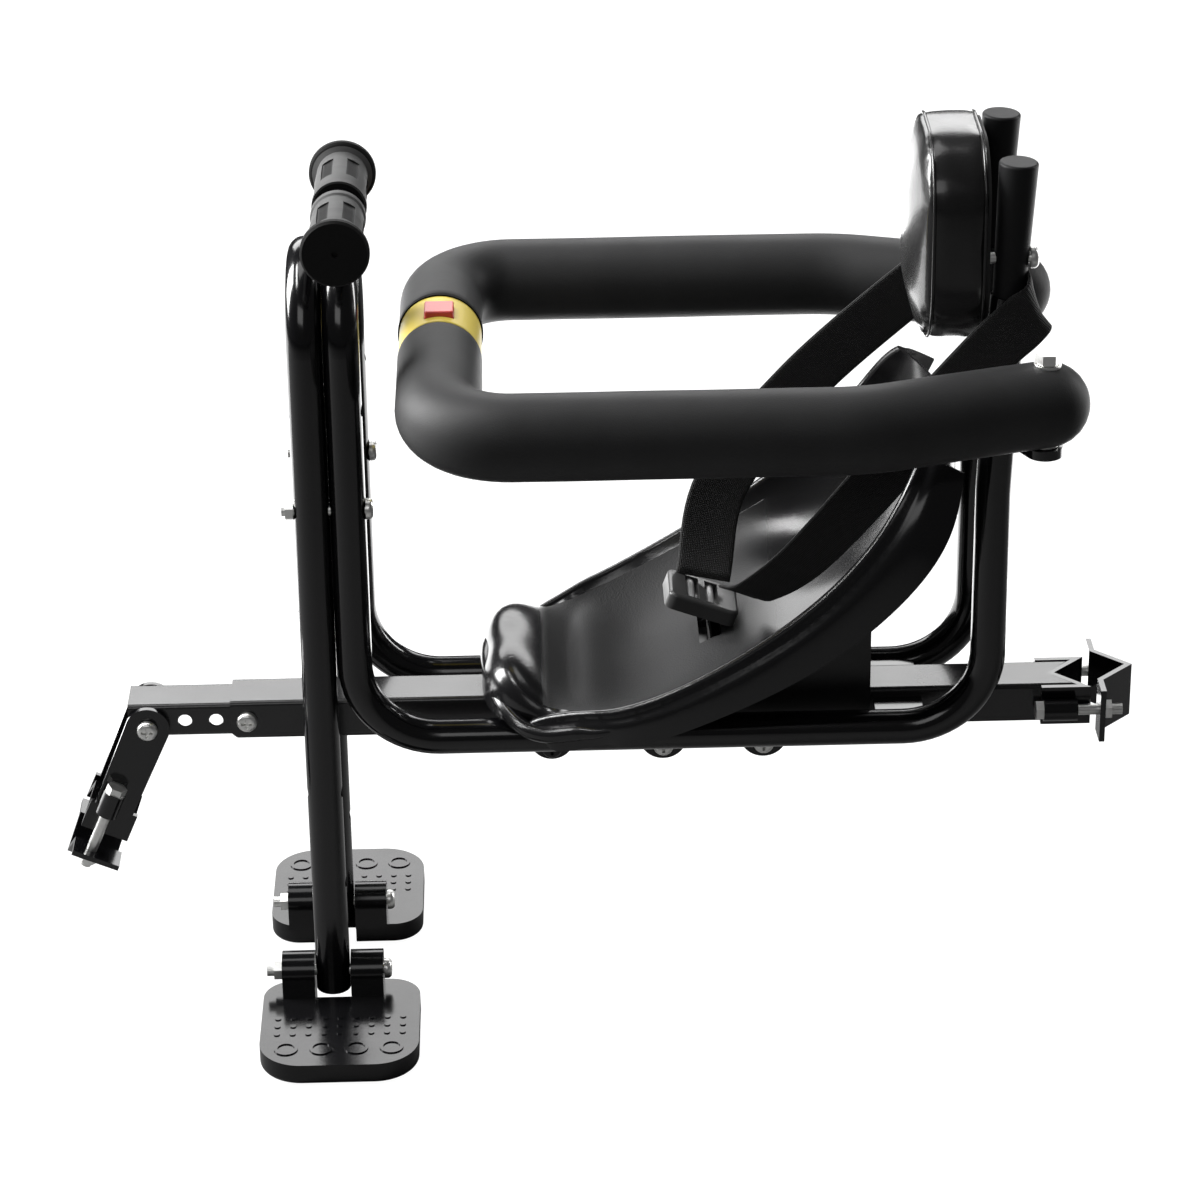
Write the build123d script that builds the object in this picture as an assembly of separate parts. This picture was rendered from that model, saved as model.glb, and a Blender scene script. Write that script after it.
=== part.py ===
from build123d import *
import os
from math import cos, radians, sin, sqrt, tan

# Child's seat that bolts between a bicycle's seat post and its top tube.
# +X runs to the rear, +Y to the child's right and +Z up, in millimetres.
# The origin is the middle of the seat post clamp, on the beam's centre line.

# Shared clearances
RUN_GAP = 0.1          # radial play of a pin in its bore
SLIDE_GAP = 0.25       # play of a sliding tube or button on each side
SIDE_GAP = 0.5         # play between a moving piece and the face beside it
SCREW_PLAY = 0.3       # radial play of a screw in its hole

# Telescopic beam
BEAM_WIDTH = 30.0
BEAM_HEIGHT = 22.5
BEAM_WALL = 1.5
BEAM_CORNER = 2.5
BEAM_NOSE_CUT = 5.0
INNER_NOSE = 10.6
INNER_OVERLAP = 130.0
LOCK_X = -462.0
LOCK_EDGE = 9.0
LOCK_PITCH = 17.0
LOCK_HOLES = 4
LOCK_HOLE_DIA = 7.6

# Bent frame tubes
TUBE_OD = 19.0
TUBE_WALL = 1.5
FRAME_HALF = 38.0
REAR_X = -61.0
FRONT_X = -401.0
FRAME_BEND = 45.0
KINK_Z = 140.0
KINK_BEND = 150.0
UPRIGHT_TOP_X = -56.6
UPRIGHT_TOP_Z = 250.0
ARCH_TOP_Z = 263.0
TIE_X = (-268.0, -107.0)
TIE_LENGTH = 26.0
TIE_HEIGHT = 12.0

# Foot frame, an inverted U bolted in front of the main frame
FOOT_GAP = 0.2
FOOT_END_Z = -155.5
HOLE_TOP_Z = 192.5
HOLE_PITCH = 56.25
HOLE_COUNT = 7
JOIN_HOLE = 1

# Threaded fasteners: shank radius, head radius, head height
M6 = (3.0, 5.6, 4.2)
M8 = (4.0, 6.6, 5.5)

# Handle
BAR_OD = 22.0
BAR_WALL = 2.0
BAR_RISE = 25.0
BAR_HALF = 58.5
GRIP_RADIUS = 14.4
GRIP_FLANGE = 17.8
GRIP_FLANGE_WIDTH = 5.0
GRIP_END_WALL = 3.5
GRIP_GAP = 13.0
GRIP_POCKETS = 6

# Backrest posts and head pad
POST_LOW_RADIUS = 8.4
POST_TOP_RADIUS = 10.2
POST_LENGTH = 72.0
POST_SPIGOT = 25.0
PAD_MARGIN = 12.0
PAD_LOW_Z = 217.0
PAD_HIGH_Z = 333.0
PAD_CORNER = 38.0
PAD_THICK = 40.4
PAD_CROWN = 9.2
BOARD_THICK = 4.0
BOARD_MARGIN = 7.0
PAD_SCREW_Z = 270.0

# Guard ring
GUARD_Z = 206.0
FOAM_RADIUS = 22.5
CORE_OD = 16.0
CORE_WALL = 1.5
GUARD_FRONT_X = -351.0
GUARD_HALF = 109.0
GUARD_CORNER = 38.0
GUARD_REAR_BEND = 100.0
GUARD_BEND_X = -135.0
HINGE_X = -41.0
HINGE_HALF = 80.0
BUSH_RADIUS = 7.0
HINGE_PLATE = 5.0
HINGE_EYE = 9.5

# Latch at the front of the guard ring
LATCH_START_Y = -5.0
LATCH_END_Y = 34.0
LATCH_RADIUS = 22.0
LATCH_BAND = 3.0
BUTTON_Y = 10.0
BUTTON_LENGTH = 16.0
BUTTON_WIDTH = 15.5
BUTTON_PROUD = 2.6
BUTTON_TRAVEL = 2.5
BUTTON_DEPTH = 9.0
TONGUE_WIDTH = 14.0
TONGUE_THICK = 4.0
TONGUE_REACH = 14.0
TONGUE_SIDE_ROOM = 5.0

# Seat shell: rim point (x, z), lean of the section, half width at the rim,
# depth of the pan below the rim, depth of the skirt
SHELL_WALL = 3.0
SHELL_STATIONS = (
    (-309.0, 12.0, 90.0, 54.0, -19.0, 6.0),
    (-308.0, 17.5, 60.0, 58.0, -27.0, 8.0),
    (-304.5, 21.5, 32.0, 61.5, -26.0, 10.0),
    (-298.5, 25.0, 8.0, 64.5, -11.0, 14.5),
    (-284.0, 30.6, 13.0, 71.5, 4.5, 16.5),
    (-268.0, 35.5, 22.0, 80.0, 11.0, 17.0),
    (-226.0, 54.5, 28.0, 90.0, 16.0, 20.0),
    (-188.0, 78.0, 36.0, 92.0, 27.0, 24.0),
    (-148.0, 111.0, 47.0, 91.0, 42.0, 28.0),
    (-119.0, 148.0, 57.0, 86.0, 36.0, 30.0),
    (-101.0, 177.0, 63.0, 66.0, 18.0, 22.0),
)
SLOT_X = -209.0
SLOT_LENGTH = 12.0
SLOT_WIDTH = 34.0

# Seat brackets that straddle the beam
BRACKET_WALL = 3.0
BRACKET_REAR_X = -122.0
BRACKET_FRONT_X = -252.0
BRACKET_SCREW_X = (-235.0, -180.0)
LOBE_RADIUS = 13.0
LOBE_Z = -14.0
BRACKET_SCREW_Z = -18.5
NOSE_BRACKET_X = -296.0
NOSE_BRACKET_LENGTH = 24.0

# Seat post clamp
POST_DIA = 27.2
CLAMP_PLATE = 3.0
CLAMP_HEIGHT = 31.0
CLAMP_WING = 27.0
JAW_ARM = 17.0
CLAMP_EAR = 32.0
SLEEVE_OD = 12.0
SLEEVE_WELD = 1.0
CLAMP_SLEEVE_LENGTH = 18.5
CLAMP_SLEEVE_X = -9.2

# Front leg with its top tube clamp
LEG_REACH = 54.4
LEG_Z = -3.0
LEG_LEAN = 23.5
LEG_EYE = 12.0
LEG_WIDTH = 21.0
LEG_PLATE = 3.0
LEG_EAR_DROP = 70.0
LEG_V_ARM = 14.0
LEG_EAR = 30.0
LEG_CLAMP_LENGTH = 27.0
LEG_JAW_GAP = 9.0
LEG_SLEEVE_DROP = 41.0
LEG_SLEEVE_LENGTH = 14.0
LEG_BOLT_OFFSET = -3.5

# Folding foot pegs
PEG_AXIS_Z = HOLE_TOP_Z - HOLE_PITCH * (HOLE_COUNT - 1)
PEG_FRONT_X = -459.0
PEG_REAR_X = -372.0
PEG_INNER_Y = 30.0
PEG_OUTER_Y = 118.0
PEG_DROP = 11.8
PEG_THICK = 12.5
PEG_KNUCKLE = 11.0
PEG_KNUCKLE_LENGTH = 18.0
PEG_CORNER = 24.0
PEG_INNER_CORNER = 17.0

# Harness
STRAP_WIDTH = 30.0
STRAP_THICK = 1.8
STRAP_PLAY = 0.2       # room for the webbing in its slot on each side
STRAP_LOOP_Z = 246.0
STRAP_LEFT = ((-44.5, -FRAME_HALF - 10.9, 243.5), (-66.0, -FRAME_HALF - 14.0, 224.7),
              (-98.0, -FRAME_HALF - 12.0, 186.0), (-125.0, -FRAME_HALF - 6.0, 146.0), (-160.0, -33.0, 99.0), (-184.0, -21.0, 75.0), (-194.0, -11.0, 70.0))
STRAP_LEFT_TWIST = (0, 0, 0, 5, 15, 30, 40)
STRAP_RIGHT = ((-46.0, FRAME_HALF + 10.9, 256.0), (-66.0, FRAME_HALF + 14.3, 242.5),
               (-104.0, FRAME_HALF + 14.3, 213.5), (-159.0, FRAME_HALF + 6.0, 166.0), (-201.0, 29.0, 116.0), (-212.0, 10.0, 68.8))
STRAP_RIGHT_TWIST = (0, 0, 0, 0, -5, -15)
BUCKLE_CENTRE = (-213.5, 0.0, 61.8)
BUCKLE_TILT = 20.0
BUCKLE_LENGTH = 40.0
BUCKLE_WIDTH = 33.0
BUCKLE_THICK = 9.0

BEAM_FRONT_X = LOCK_X - LOCK_EDGE
LEG_X = LOCK_X - LEG_REACH
INNER_FRONT_X = LEG_X - INNER_NOSE
BAR_Z = ARCH_TOP_Z + BAR_RISE
PAD_HALF = FRAME_HALF + PAD_MARGIN
TUBE_R = TUBE_OD / 2
FOOT_X = FRONT_X - TUBE_OD - FOOT_GAP
SIDES = {"left": -1, "right": 1}
JOIN_Z = HOLE_TOP_Z - HOLE_PITCH * JOIN_HOLE
APEX = POST_DIA / 2 * sqrt(2)


# General shapes

def rounded_path(points, radii):
    """Straight runs joined by tangent arcs of the given radii."""
    corners = [Vector(*point) for point in points]
    edges = []
    start = corners[0]
    for index, radius in enumerate(radii, 1):
        corner = corners[index]
        back = (corners[index - 1] - corner).normalized()
        ahead = (corners[index + 1] - corner).normalized()
        half = radians(back.get_angle(ahead) / 2)
        bisector = (back + ahead).normalized()
        first = corner + back * (radius / tan(half))
        last = corner + ahead * (radius / tan(half))
        middle = corner + bisector * (radius / sin(half) - radius)
        if (first - start).length > 0.01:
            edges.append(Line(start, first))
        edges.append(ThreePointArc(first, middle, last))
        start = last
    if (corners[-1] - start).length > 0.01:
        edges.append(Line(start, corners[-1]))
    return Wire(edges)


def rod_along(path, radius):
    """Solid rod of one radius along a path."""
    section = Plane(origin=path @ 0, z_dir=path % 0) * Circle(radius)
    return sweep(section, path=path)


def tube_along(path, outer_dia, wall):
    """Round tube along a path."""
    return rod_along(path, outer_dia / 2) - rod_along(path, outer_dia / 2 - wall)


def rod(start, end, radius):
    """Straight round rod between two points."""
    axis = Vector(*end) - Vector(*start)
    return Plane(origin=start, z_dir=axis) * Cylinder(
        radius, axis.length, align=(Align.CENTER, Align.CENTER, Align.MIN))


def hex_prism(start, end, radius):
    """Six-sided head or nut between two points."""
    axis = Vector(*end) - Vector(*start)
    return extrude(Plane(origin=start, z_dir=axis) * RegularPolygon(radius, 6), axis.length)


def pan_head(start, direction, size):
    """Rounded screw head with a cross recess, seated at start."""
    shank, head, height = size
    way = Vector(*direction).normalized()
    seat = Vector(*start)
    body = rod(seat, seat + way * height, head)
    outer_edge = body.edges().filter_by(GeomType.CIRCLE).sort_by(Axis(seat, way))[-1]
    body = fillet(outer_edge, height * 0.6)
    recess = Plane(origin=seat + way * height, z_dir=way)
    for turn in (0, 90):
        blade = Box(head * 1.1, head * 0.28, height, align=(Align.CENTER, Align.CENTER, Align.CENTER))
        body -= recess * Rot(0, 0, turn) * blade
    return body


def through_bolt(head_seat, nut_seat, size, tail, head_maker):
    """Bolt with its nut: the head sits at head_seat, the nut at nut_seat."""
    shank, head, height = size
    first = Vector(*head_seat)
    last = Vector(*nut_seat)
    way = (last - first).normalized()
    bolt = rod(first, last + way * (height + tail), shank) + head_maker(first, way * -1, size)
    nut = hex_prism(last, last + way * height, head) - rod(first, last + way * (height + tail), shank)
    return [bolt, nut]


def hex_head(start, direction, size):
    """Six-sided bolt head seated at start."""
    way = Vector(*direction).normalized()
    seat = Vector(*start)
    return hex_prism(seat, seat + way * size[2], size[1])


def v_profile(arm, ear, thickness):
    """Right-angled V of sheet metal with two ears, apex at the origin, open to +X."""
    slant = thickness * (sqrt(2) - 1)
    upper = [(arm, ear), (arm, arm), (0, 0)]
    outer = [(-thickness * sqrt(2), 0), (arm - thickness, arm + slant), (arm - thickness, ear)]
    lower = [(x, -y) for x, y in reversed(upper[:2])]
    outer_low = [(x, -y) for x, y in reversed(outer[1:])]
    return make_face(Polyline(*(upper + lower + outer_low + outer), close=True))


def winged_v(half, wing, thickness):
    """Right-angled V whose arms turn back into two wings, apex at the origin, open to +X."""
    tip = half + thickness
    low = [(tip - wing, -tip), (tip - wing, -half), (half - thickness * sqrt(2), -half)]
    high = [(x, -y) for x, y in reversed(low)]
    inside = [(tip, tip), (0, 0), (tip, -tip)]
    return make_face(Polyline(*(inside + low + [(-thickness * sqrt(2), 0)] + high), close=True))


# Telescopic beam

def beam_section(width, height, corner):
    """Rounded rectangle across the beam."""
    return Plane.YZ * RectangleRounded(width, height, corner)


def beam_tube(width, height, corner, wall, front, rear):
    """Rectangular tube from front to rear."""
    length = rear - front
    outside = extrude(beam_section(width, height, corner), length)
    inside = extrude(beam_section(width - 2 * wall, height - 2 * wall, corner - wall), length)
    return Pos(front, 0, 0) * (outside - inside)


def cross_hole(x, z, dia):
    """Cutter for a hole right through the beam along Y."""
    return rod((x, -BEAM_WIDTH, z), (x, BEAM_WIDTH, z), dia / 2)


def build_beam():
    """Outer beam tube, notched round the clamp plate at its rear end."""
    rear = BEAM_WIDTH / 2 - APEX - CLAMP_PLATE * sqrt(2) - SIDE_GAP
    beam = beam_tube(BEAM_WIDTH, BEAM_HEIGHT, BEAM_CORNER, BEAM_WALL, BEAM_FRONT_X, rear)
    notch_apex = -APEX - CLAMP_PLATE * sqrt(2)
    notch = make_face(Polyline((notch_apex, 0), (rear + 1, BEAM_WIDTH / 2 + 1),
                               (rear + 1, -BEAM_WIDTH / 2 - 1), close=True))
    beam -= extrude(notch, BEAM_HEIGHT, both=True)
    low = -BEAM_HEIGHT / 2
    nose = make_face(Polyline((BEAM_FRONT_X - 1, low - 1), (BEAM_FRONT_X + BEAM_NOSE_CUT, low - 1),
                              (BEAM_FRONT_X - 1, low + BEAM_NOSE_CUT), close=True))
    beam -= extrude(Plane.XZ * nose, BEAM_WIDTH, both=True)
    beam -= cross_hole(LOCK_X, 0, 2 * (M6[0] + SCREW_PLAY))
    return beam


INNER_WIDTH = BEAM_WIDTH - 2 * BEAM_WALL - 2 * SLIDE_GAP
INNER_HEIGHT = BEAM_HEIGHT - 2 * BEAM_WALL - 2 * SLIDE_GAP


def build_inner_beam():
    """Inner beam, a channel open below, with its adjusting holes and the leg's pivot hole."""
    rear = BEAM_FRONT_X + INNER_OVERLAP
    tube = beam_tube(INNER_WIDTH, INNER_HEIGHT, BEAM_CORNER, BEAM_WALL, INNER_FRONT_X, rear)
    for index in range(LOCK_HOLES):
        tube -= cross_hole(LOCK_X + LOCK_PITCH * (index - 2), 0, LOCK_HOLE_DIA)
    tube -= cross_hole(LEG_X, LEG_Z, 2 * (M6[0] + RUN_GAP))
    mouth = Box(rear - INNER_FRONT_X, INNER_WIDTH - 2 * BEAM_WALL, INNER_HEIGHT,
                align=(Align.MIN, Align.CENTER, Align.MAX))
    return tube - Pos(INNER_FRONT_X, 0, 0) * mouth


def build_lock_screw():
    """Screw that fixes the inner tube at one of its holes."""
    half = BEAM_WIDTH / 2
    return Compound(through_bolt((LOCK_X, -half, 0), (LOCK_X, half, 0), M6, 2, pan_head))


# Main frame

def frame_path(side):
    """Centre line of one bent frame tube, from backrest to the middle of the handle arch."""
    y = side * FRAME_HALF
    points = [(UPRIGHT_TOP_X, y, UPRIGHT_TOP_Z), (REAR_X, y, KINK_Z), (REAR_X, y, 0), (FRONT_X, y, 0),
              (FRONT_X, y, ARCH_TOP_Z), (FRONT_X, 0, ARCH_TOP_Z)]
    return rounded_path(points, [KINK_BEND, FRAME_BEND, FRAME_BEND, FRAME_HALF])


def join_bolt_hole(x_from, x_to, y, z):
    """Cutter for a bolt hole along X."""
    return rod((x_from, y, z), (x_to, y, z), M6[0] + SCREW_PLAY)


def build_frame_tube(side):
    """One half of the main frame, with the bolt holes of its front upright."""
    tube = tube_along(frame_path(side), TUBE_OD, TUBE_WALL)
    for z in (HOLE_TOP_Z, JOIN_Z):
        tube -= join_bolt_hole(FRONT_X - TUBE_OD, FRONT_X + TUBE_OD, side * FRAME_HALF, z)
    return tube


def build_frame_ties():
    """Steel blocks welded between the beam and the frame tubes."""
    ties = []
    inner = BEAM_WIDTH / 2
    for x in TIE_X:
        for side in SIDES.values():
            block = Box(TIE_LENGTH, FRAME_HALF - inner, TIE_HEIGHT)
            block = Pos(x, side * (inner + FRAME_HALF) / 2, 0) * block
            ties.append(block - rod_along(frame_path(side), TUBE_R))
    return Compound(ties)


# Foot frame and pegs

def foot_path():
    """Centre line of the foot frame: up one leg, over the arch and down the other."""
    low_left = Vector(FOOT_X, -FRAME_HALF, FOOT_END_Z)
    high_left = Vector(FOOT_X, -FRAME_HALF, ARCH_TOP_Z - FRAME_HALF)
    crown = Vector(FOOT_X, 0, ARCH_TOP_Z)
    high_right = Vector(FOOT_X, FRAME_HALF, ARCH_TOP_Z - FRAME_HALF)
    low_right = Vector(FOOT_X, FRAME_HALF, FOOT_END_Z)
    return Wire([Line(low_left, high_left), ThreePointArc(high_left, crown, high_right),
                 Line(high_right, low_right)])


def build_foot_frame():
    """Inverted U tube with a row of holes down each leg."""
    tube = tube_along(foot_path(), TUBE_OD, TUBE_WALL)
    for index in range(HOLE_COUNT):
        z = HOLE_TOP_Z - HOLE_PITCH * index
        for side in SIDES.values():
            tube -= join_bolt_hole(FOOT_X - TUBE_OD, FOOT_X + TUBE_OD, side * FRAME_HALF, z)
    return tube


def build_column_bolts():
    """Bolts that hold the foot frame to the front uprights at one pair of holes."""
    pieces = []
    for side in SIDES.values():
        y = side * FRAME_HALF
        pieces += through_bolt((FRONT_X + TUBE_R, y, JOIN_Z), (FOOT_X - TUBE_R, y, JOIN_Z), M6, 2, pan_head)
    return Compound(pieces)


def knuckle_span(end):
    """Inner and outer X of the knuckle ahead of (-1) or behind (+1) the foot tube."""
    inner = FOOT_X + end * (TUBE_R + SIDE_GAP)
    return inner, inner + end * PEG_KNUCKLE_LENGTH


def build_right_peg():
    """Foot peg of the right side: treaded plate with two knuckles on the pivot bolt."""
    top = PEG_AXIS_Z - PEG_DROP
    length = PEG_REAR_X - PEG_FRONT_X
    width = PEG_OUTER_Y - PEG_INNER_Y
    outline = Rectangle(length, width)
    corners = outline.vertices().sort_by(Axis.Y)
    outline = fillet(corners[-2:], PEG_CORNER)
    outline = fillet(outline.vertices().sort_by(Axis.Y)[:2], PEG_INNER_CORNER)
    middle_x = (PEG_REAR_X + PEG_FRONT_X) / 2
    middle_y = (PEG_OUTER_Y + PEG_INNER_Y) / 2
    plate = extrude(Pos(middle_x, middle_y, top - PEG_THICK) * outline, PEG_THICK)
    plate = fillet(plate.faces().sort_by(Axis.Z)[0].edges(), PEG_THICK / 4)
    for end in (-1, 1):
        inner, outer = knuckle_span(end)
        centre = ((inner + outer) / 2, FRAME_HALF, PEG_AXIS_Z)
        web = Box(PEG_KNUCKLE_LENGTH, 2 * PEG_KNUCKLE, PEG_DROP + 1,
                  align=(Align.CENTER, Align.CENTER, Align.MAX))
        plate += Pos(*centre) * web
        plate += rod((inner, FRAME_HALF, PEG_AXIS_Z), (outer, FRAME_HALF, PEG_AXIS_Z), PEG_KNUCKLE)
    notch_end = FRAME_HALF + TUBE_R + SIDE_GAP
    notch = Box(TUBE_OD + 2 * SIDE_GAP, notch_end, 4 * PEG_THICK,
                align=(Align.CENTER, Align.MIN, Align.CENTER))
    plate -= Pos(FOOT_X, 0, top) * notch
    plate -= rod((PEG_FRONT_X, FRAME_HALF, PEG_AXIS_Z), (PEG_REAR_X, FRAME_HALF, PEG_AXIS_Z), M6[0] + RUN_GAP)
    for index in range(4):
        x = middle_x + (index - 1.5) * length * 0.22
        ring = Cylinder(6.5, 0.8) - Cylinder(4.6, 0.8)
        plate += Pos(x, PEG_OUTER_Y - 17, top + 0.3) * ring
    for row in range(3):
        for column in range(9):
            x = middle_x + (column - 4) * 8.6
            plate += Pos(x, PEG_OUTER_Y - 32 - row * 8, top + 0.2) * Cylinder(1.7, 0.8)
    return plate


def build_peg(side):
    """Foot peg of one side."""
    peg = build_right_peg()
    return peg if side > 0 else mirror(peg, about=Plane.XZ)


def build_peg_bolts():
    """Pivot bolts of the foot pegs, nuts to the front."""
    pieces = []
    rear = knuckle_span(1)[1] + SIDE_GAP
    front = knuckle_span(-1)[1] - SIDE_GAP
    for side in SIDES.values():
        y = side * FRAME_HALF
        pieces += through_bolt((rear, y, PEG_AXIS_Z), (front, y, PEG_AXIS_Z), M6, 4, pan_head)
    return Compound(pieces)


# Handle

def build_handle_bar():
    """Straight bar on a short saddle that is welded to the crown of the arch."""
    solid_bar = rod((FRONT_X, -BAR_HALF, BAR_Z), (FRONT_X, BAR_HALF, BAR_Z), BAR_OD / 2)
    bore = rod((FRONT_X, -BAR_HALF, BAR_Z), (FRONT_X, BAR_HALF, BAR_Z), BAR_OD / 2 - BAR_WALL)
    saddle = Pos(FRONT_X, 0, (BAR_Z + ARCH_TOP_Z) / 2) * Box(TUBE_R, GRIP_GAP - 2, BAR_Z - ARCH_TOP_Z)
    arch = Pos(FRONT_X, 0, ARCH_TOP_Z - FRAME_HALF) * Rot(0, 90, 0) * Torus(FRAME_HALF, TUBE_R)
    return (solid_bar - bore) + (saddle - arch - solid_bar)


def build_grip(side):
    """Rubber grip with a flanged, closed outer end and pockets in its barrel."""
    start = GRIP_GAP / 2
    end = BAR_HALF + GRIP_END_WALL
    flange = end - GRIP_FLANGE_WIDTH
    bar = BAR_OD / 2
    waist = GRIP_RADIUS - 0.9
    profile = Polyline((bar, start), (GRIP_RADIUS, start), (GRIP_RADIUS, start + 4), (waist, start + 5),
                       (GRIP_RADIUS - 0.2, (start + flange) / 2), (waist, flange - 2),
                       (GRIP_FLANGE - 1, flange), (GRIP_FLANGE, flange + 1), (GRIP_FLANGE, end - 1.2),
                       (GRIP_FLANGE - 1.2, end), (1.6, end), (1.6, end - 1.6), (0, end - 1.6),
                       (0, BAR_HALF), (bar, BAR_HALF), close=True)
    grip = revolve(make_face(profile), Axis.Y, 360)
    pocket = Pos(0, (start + flange) / 2 + 1, GRIP_RADIUS) * Box(7, 24, 3)
    for index in range(GRIP_POCKETS):
        grip -= Rot(0, 360 / GRIP_POCKETS * (index + 0.5), 0) * pocket
    grip = Pos(FRONT_X, 0, BAR_Z) * grip
    return grip if side > 0 else mirror(grip, about=Plane.XZ)


# Backrest posts and head pad

def upright_point(side, z):
    """Point on the centre line of the leaning rear upright at a height."""
    share = (z - KINK_Z) / (UPRIGHT_TOP_Z - KINK_Z)
    return Vector(REAR_X + share * (UPRIGHT_TOP_X - REAR_X), side * FRAME_HALF, z)


def upright_plane(side):
    """Plane across the open top of the rear upright."""
    top = upright_point(side, UPRIGHT_TOP_Z)
    return Plane(origin=top, x_dir=(0, 1, 0), z_dir=top - upright_point(side, KINK_Z))


def pad_screw_hole(side):
    """Cutter for the screw that holds the pad board to a post."""
    y = side * FRAME_HALF
    front = (REAR_X - TUBE_OD * 2, y, PAD_SCREW_Z)
    rear = (REAR_X + TUBE_OD * 2, y, PAD_SCREW_Z)
    return rod(front, rear, M6[0] + SCREW_PLAY)


def build_post(side):
    """Flared plastic post plugged into the top of a rear upright."""
    bottom = (Align.CENTER, Align.CENTER, Align.MIN)
    post = Cone(POST_LOW_RADIUS, POST_TOP_RADIUS, POST_LENGTH, align=bottom)
    post = fillet(post.edges().sort_by(Axis.Z)[-1], 1.5)
    post += Pos(0, 0, -POST_SPIGOT) * Cylinder(TUBE_R - TUBE_WALL - SLIDE_GAP, POST_SPIGOT + 1, align=bottom)
    return upright_plane(side) * post - pad_screw_hole(side)


PAD_REAR_X = upright_point(1, PAD_LOW_Z).X - TUBE_R - 0.2


def pad_outline(inset):
    """Outline of the head pad across X."""
    height = PAD_HIGH_Z - PAD_LOW_Z
    return RectangleRounded(2 * (PAD_HALF - inset), height - 2 * inset, PAD_CORNER - inset)


def build_pad_board():
    """Board let into the back of the head pad."""
    board = extrude(Plane.YZ * pad_outline(PAD_MARGIN - BOARD_MARGIN), -BOARD_THICK)
    board = Pos(PAD_REAR_X, 0, (PAD_HIGH_Z + PAD_LOW_Z) / 2) * board
    for side in SIDES.values():
        board -= pad_screw_hole(side)
    return board


def build_head_pad():
    """Head pad: rounded cushion with a crowned front."""
    flat = PAD_THICK - PAD_CROWN
    pad = extrude(Plane.YZ * pad_outline(0), -flat)
    crown = [(0, 0), (0.55, 7), (0.88, 17), (1, 30)]
    pad += loft([Plane.YZ.offset(-flat - PAD_CROWN * rise) * pad_outline(inset) for rise, inset in crown])
    pad -= extrude(Plane.YZ * pad_outline(PAD_MARGIN - BOARD_MARGIN - SLIDE_GAP), -BOARD_THICK)
    return Pos(PAD_REAR_X, 0, (PAD_HIGH_Z + PAD_LOW_Z) / 2) * pad


def build_pad_screws():
    """Screws from behind the posts into the pad board."""
    screws = []
    for side in SIDES.values():
        share = (PAD_SCREW_Z - UPRIGHT_TOP_Z) / POST_LENGTH
        radius = POST_LOW_RADIUS + share * (POST_TOP_RADIUS - POST_LOW_RADIUS)
        seat = upright_point(side, PAD_SCREW_Z) + Vector(radius + 0.8, 0, 0)
        shank = rod(seat, (PAD_REAR_X - BOARD_THICK, seat.Y, seat.Z), M6[0])
        screws.append(shank + pan_head(seat, (1, 0, 0), M6))
    return Compound(screws)


# Guard ring

def guard_path(side, start_y):
    """Centre line of one guard arm, from the latch round to its hinge."""
    points = [(GUARD_FRONT_X, start_y, GUARD_Z), (GUARD_FRONT_X, side * GUARD_HALF, GUARD_Z),
              (GUARD_BEND_X, side * GUARD_HALF, GUARD_Z), (HINGE_X, side * HINGE_HALF, GUARD_Z)]
    return rounded_path(points, [GUARD_CORNER, GUARD_REAR_BEND])


def hinge_rod(side, radius, half_height):
    """Upright round bar on the hinge line of one guard arm."""
    y = side * HINGE_HALF
    return rod((HINGE_X, y, GUARD_Z - half_height), (HINGE_X, y, GUARD_Z + half_height), radius)


def core_start(side):
    """Where the steel core of an arm ends inside or at the latch."""
    return LATCH_START_Y if side < 0 else LATCH_END_Y - TONGUE_REACH


def build_guard_core(side):
    """Steel core of a guard arm with its hinge bush."""
    core = tube_along(guard_path(side, core_start(side)), CORE_OD, CORE_WALL)
    core -= hinge_rod(side, BUSH_RADIUS, FOAM_RADIUS)
    bush = hinge_rod(side, BUSH_RADIUS, FOAM_RADIUS) - hinge_rod(side, M8[0] + RUN_GAP, FOAM_RADIUS)
    return core + bush


def build_guard_foam(side):
    """Foam sleeve of a guard arm, rounded off at the hinge."""
    start = LATCH_START_Y if side < 0 else LATCH_END_Y
    path = guard_path(side, start)
    foam = rod_along(path, FOAM_RADIUS) + Pos(HINGE_X, side * HINGE_HALF, GUARD_Z) * Sphere(FOAM_RADIUS)
    return foam - rod_along(path, CORE_OD / 2) - hinge_rod(side, BUSH_RADIUS, FOAM_RADIUS)


def build_hinge_bracket(side):
    """Steel plate welded to an upright, under the end of a guard arm."""
    low = GUARD_Z - FOAM_RADIUS - SIDE_GAP - HINGE_PLATE
    root = upright_point(side, low)
    outline = Pos(root.X, root.Y) * Circle(TUBE_R + 2) + Pos(HINGE_X, side * HINGE_HALF) * Circle(HINGE_EYE)
    plate = extrude(Pos(0, 0, low) * make_hull(outline.edges()), HINGE_PLATE)
    front = Box(4 * TUBE_OD, 8 * TUBE_OD, 4 * HINGE_PLATE, align=(Align.MAX, Align.CENTER, Align.CENTER))
    plate -= Pos(root.X - TUBE_R / 2, 0, low) * front
    tube = rod(upright_point(side, KINK_Z), upright_point(side, UPRIGHT_TOP_Z), TUBE_R)
    return plate - tube - hinge_rod(side, M8[0], 2 * FOAM_RADIUS)


def build_hinge_bolts():
    """Hinge bolts of the guard arms, heads up and screwed into the plates."""
    bolts = []
    reach = FOAM_RADIUS + SIDE_GAP
    for side in SIDES.values():
        head = Vector(HINGE_X, side * HINGE_HALF, GUARD_Z + reach)
        end = Vector(HINGE_X, side * HINGE_HALF, GUARD_Z - reach - HINGE_PLATE)
        bolts.append(rod(head, end, M8[0]) + hex_head(head, (0, 0, 1), M8))
    return Compound(bolts)


# Latch

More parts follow.
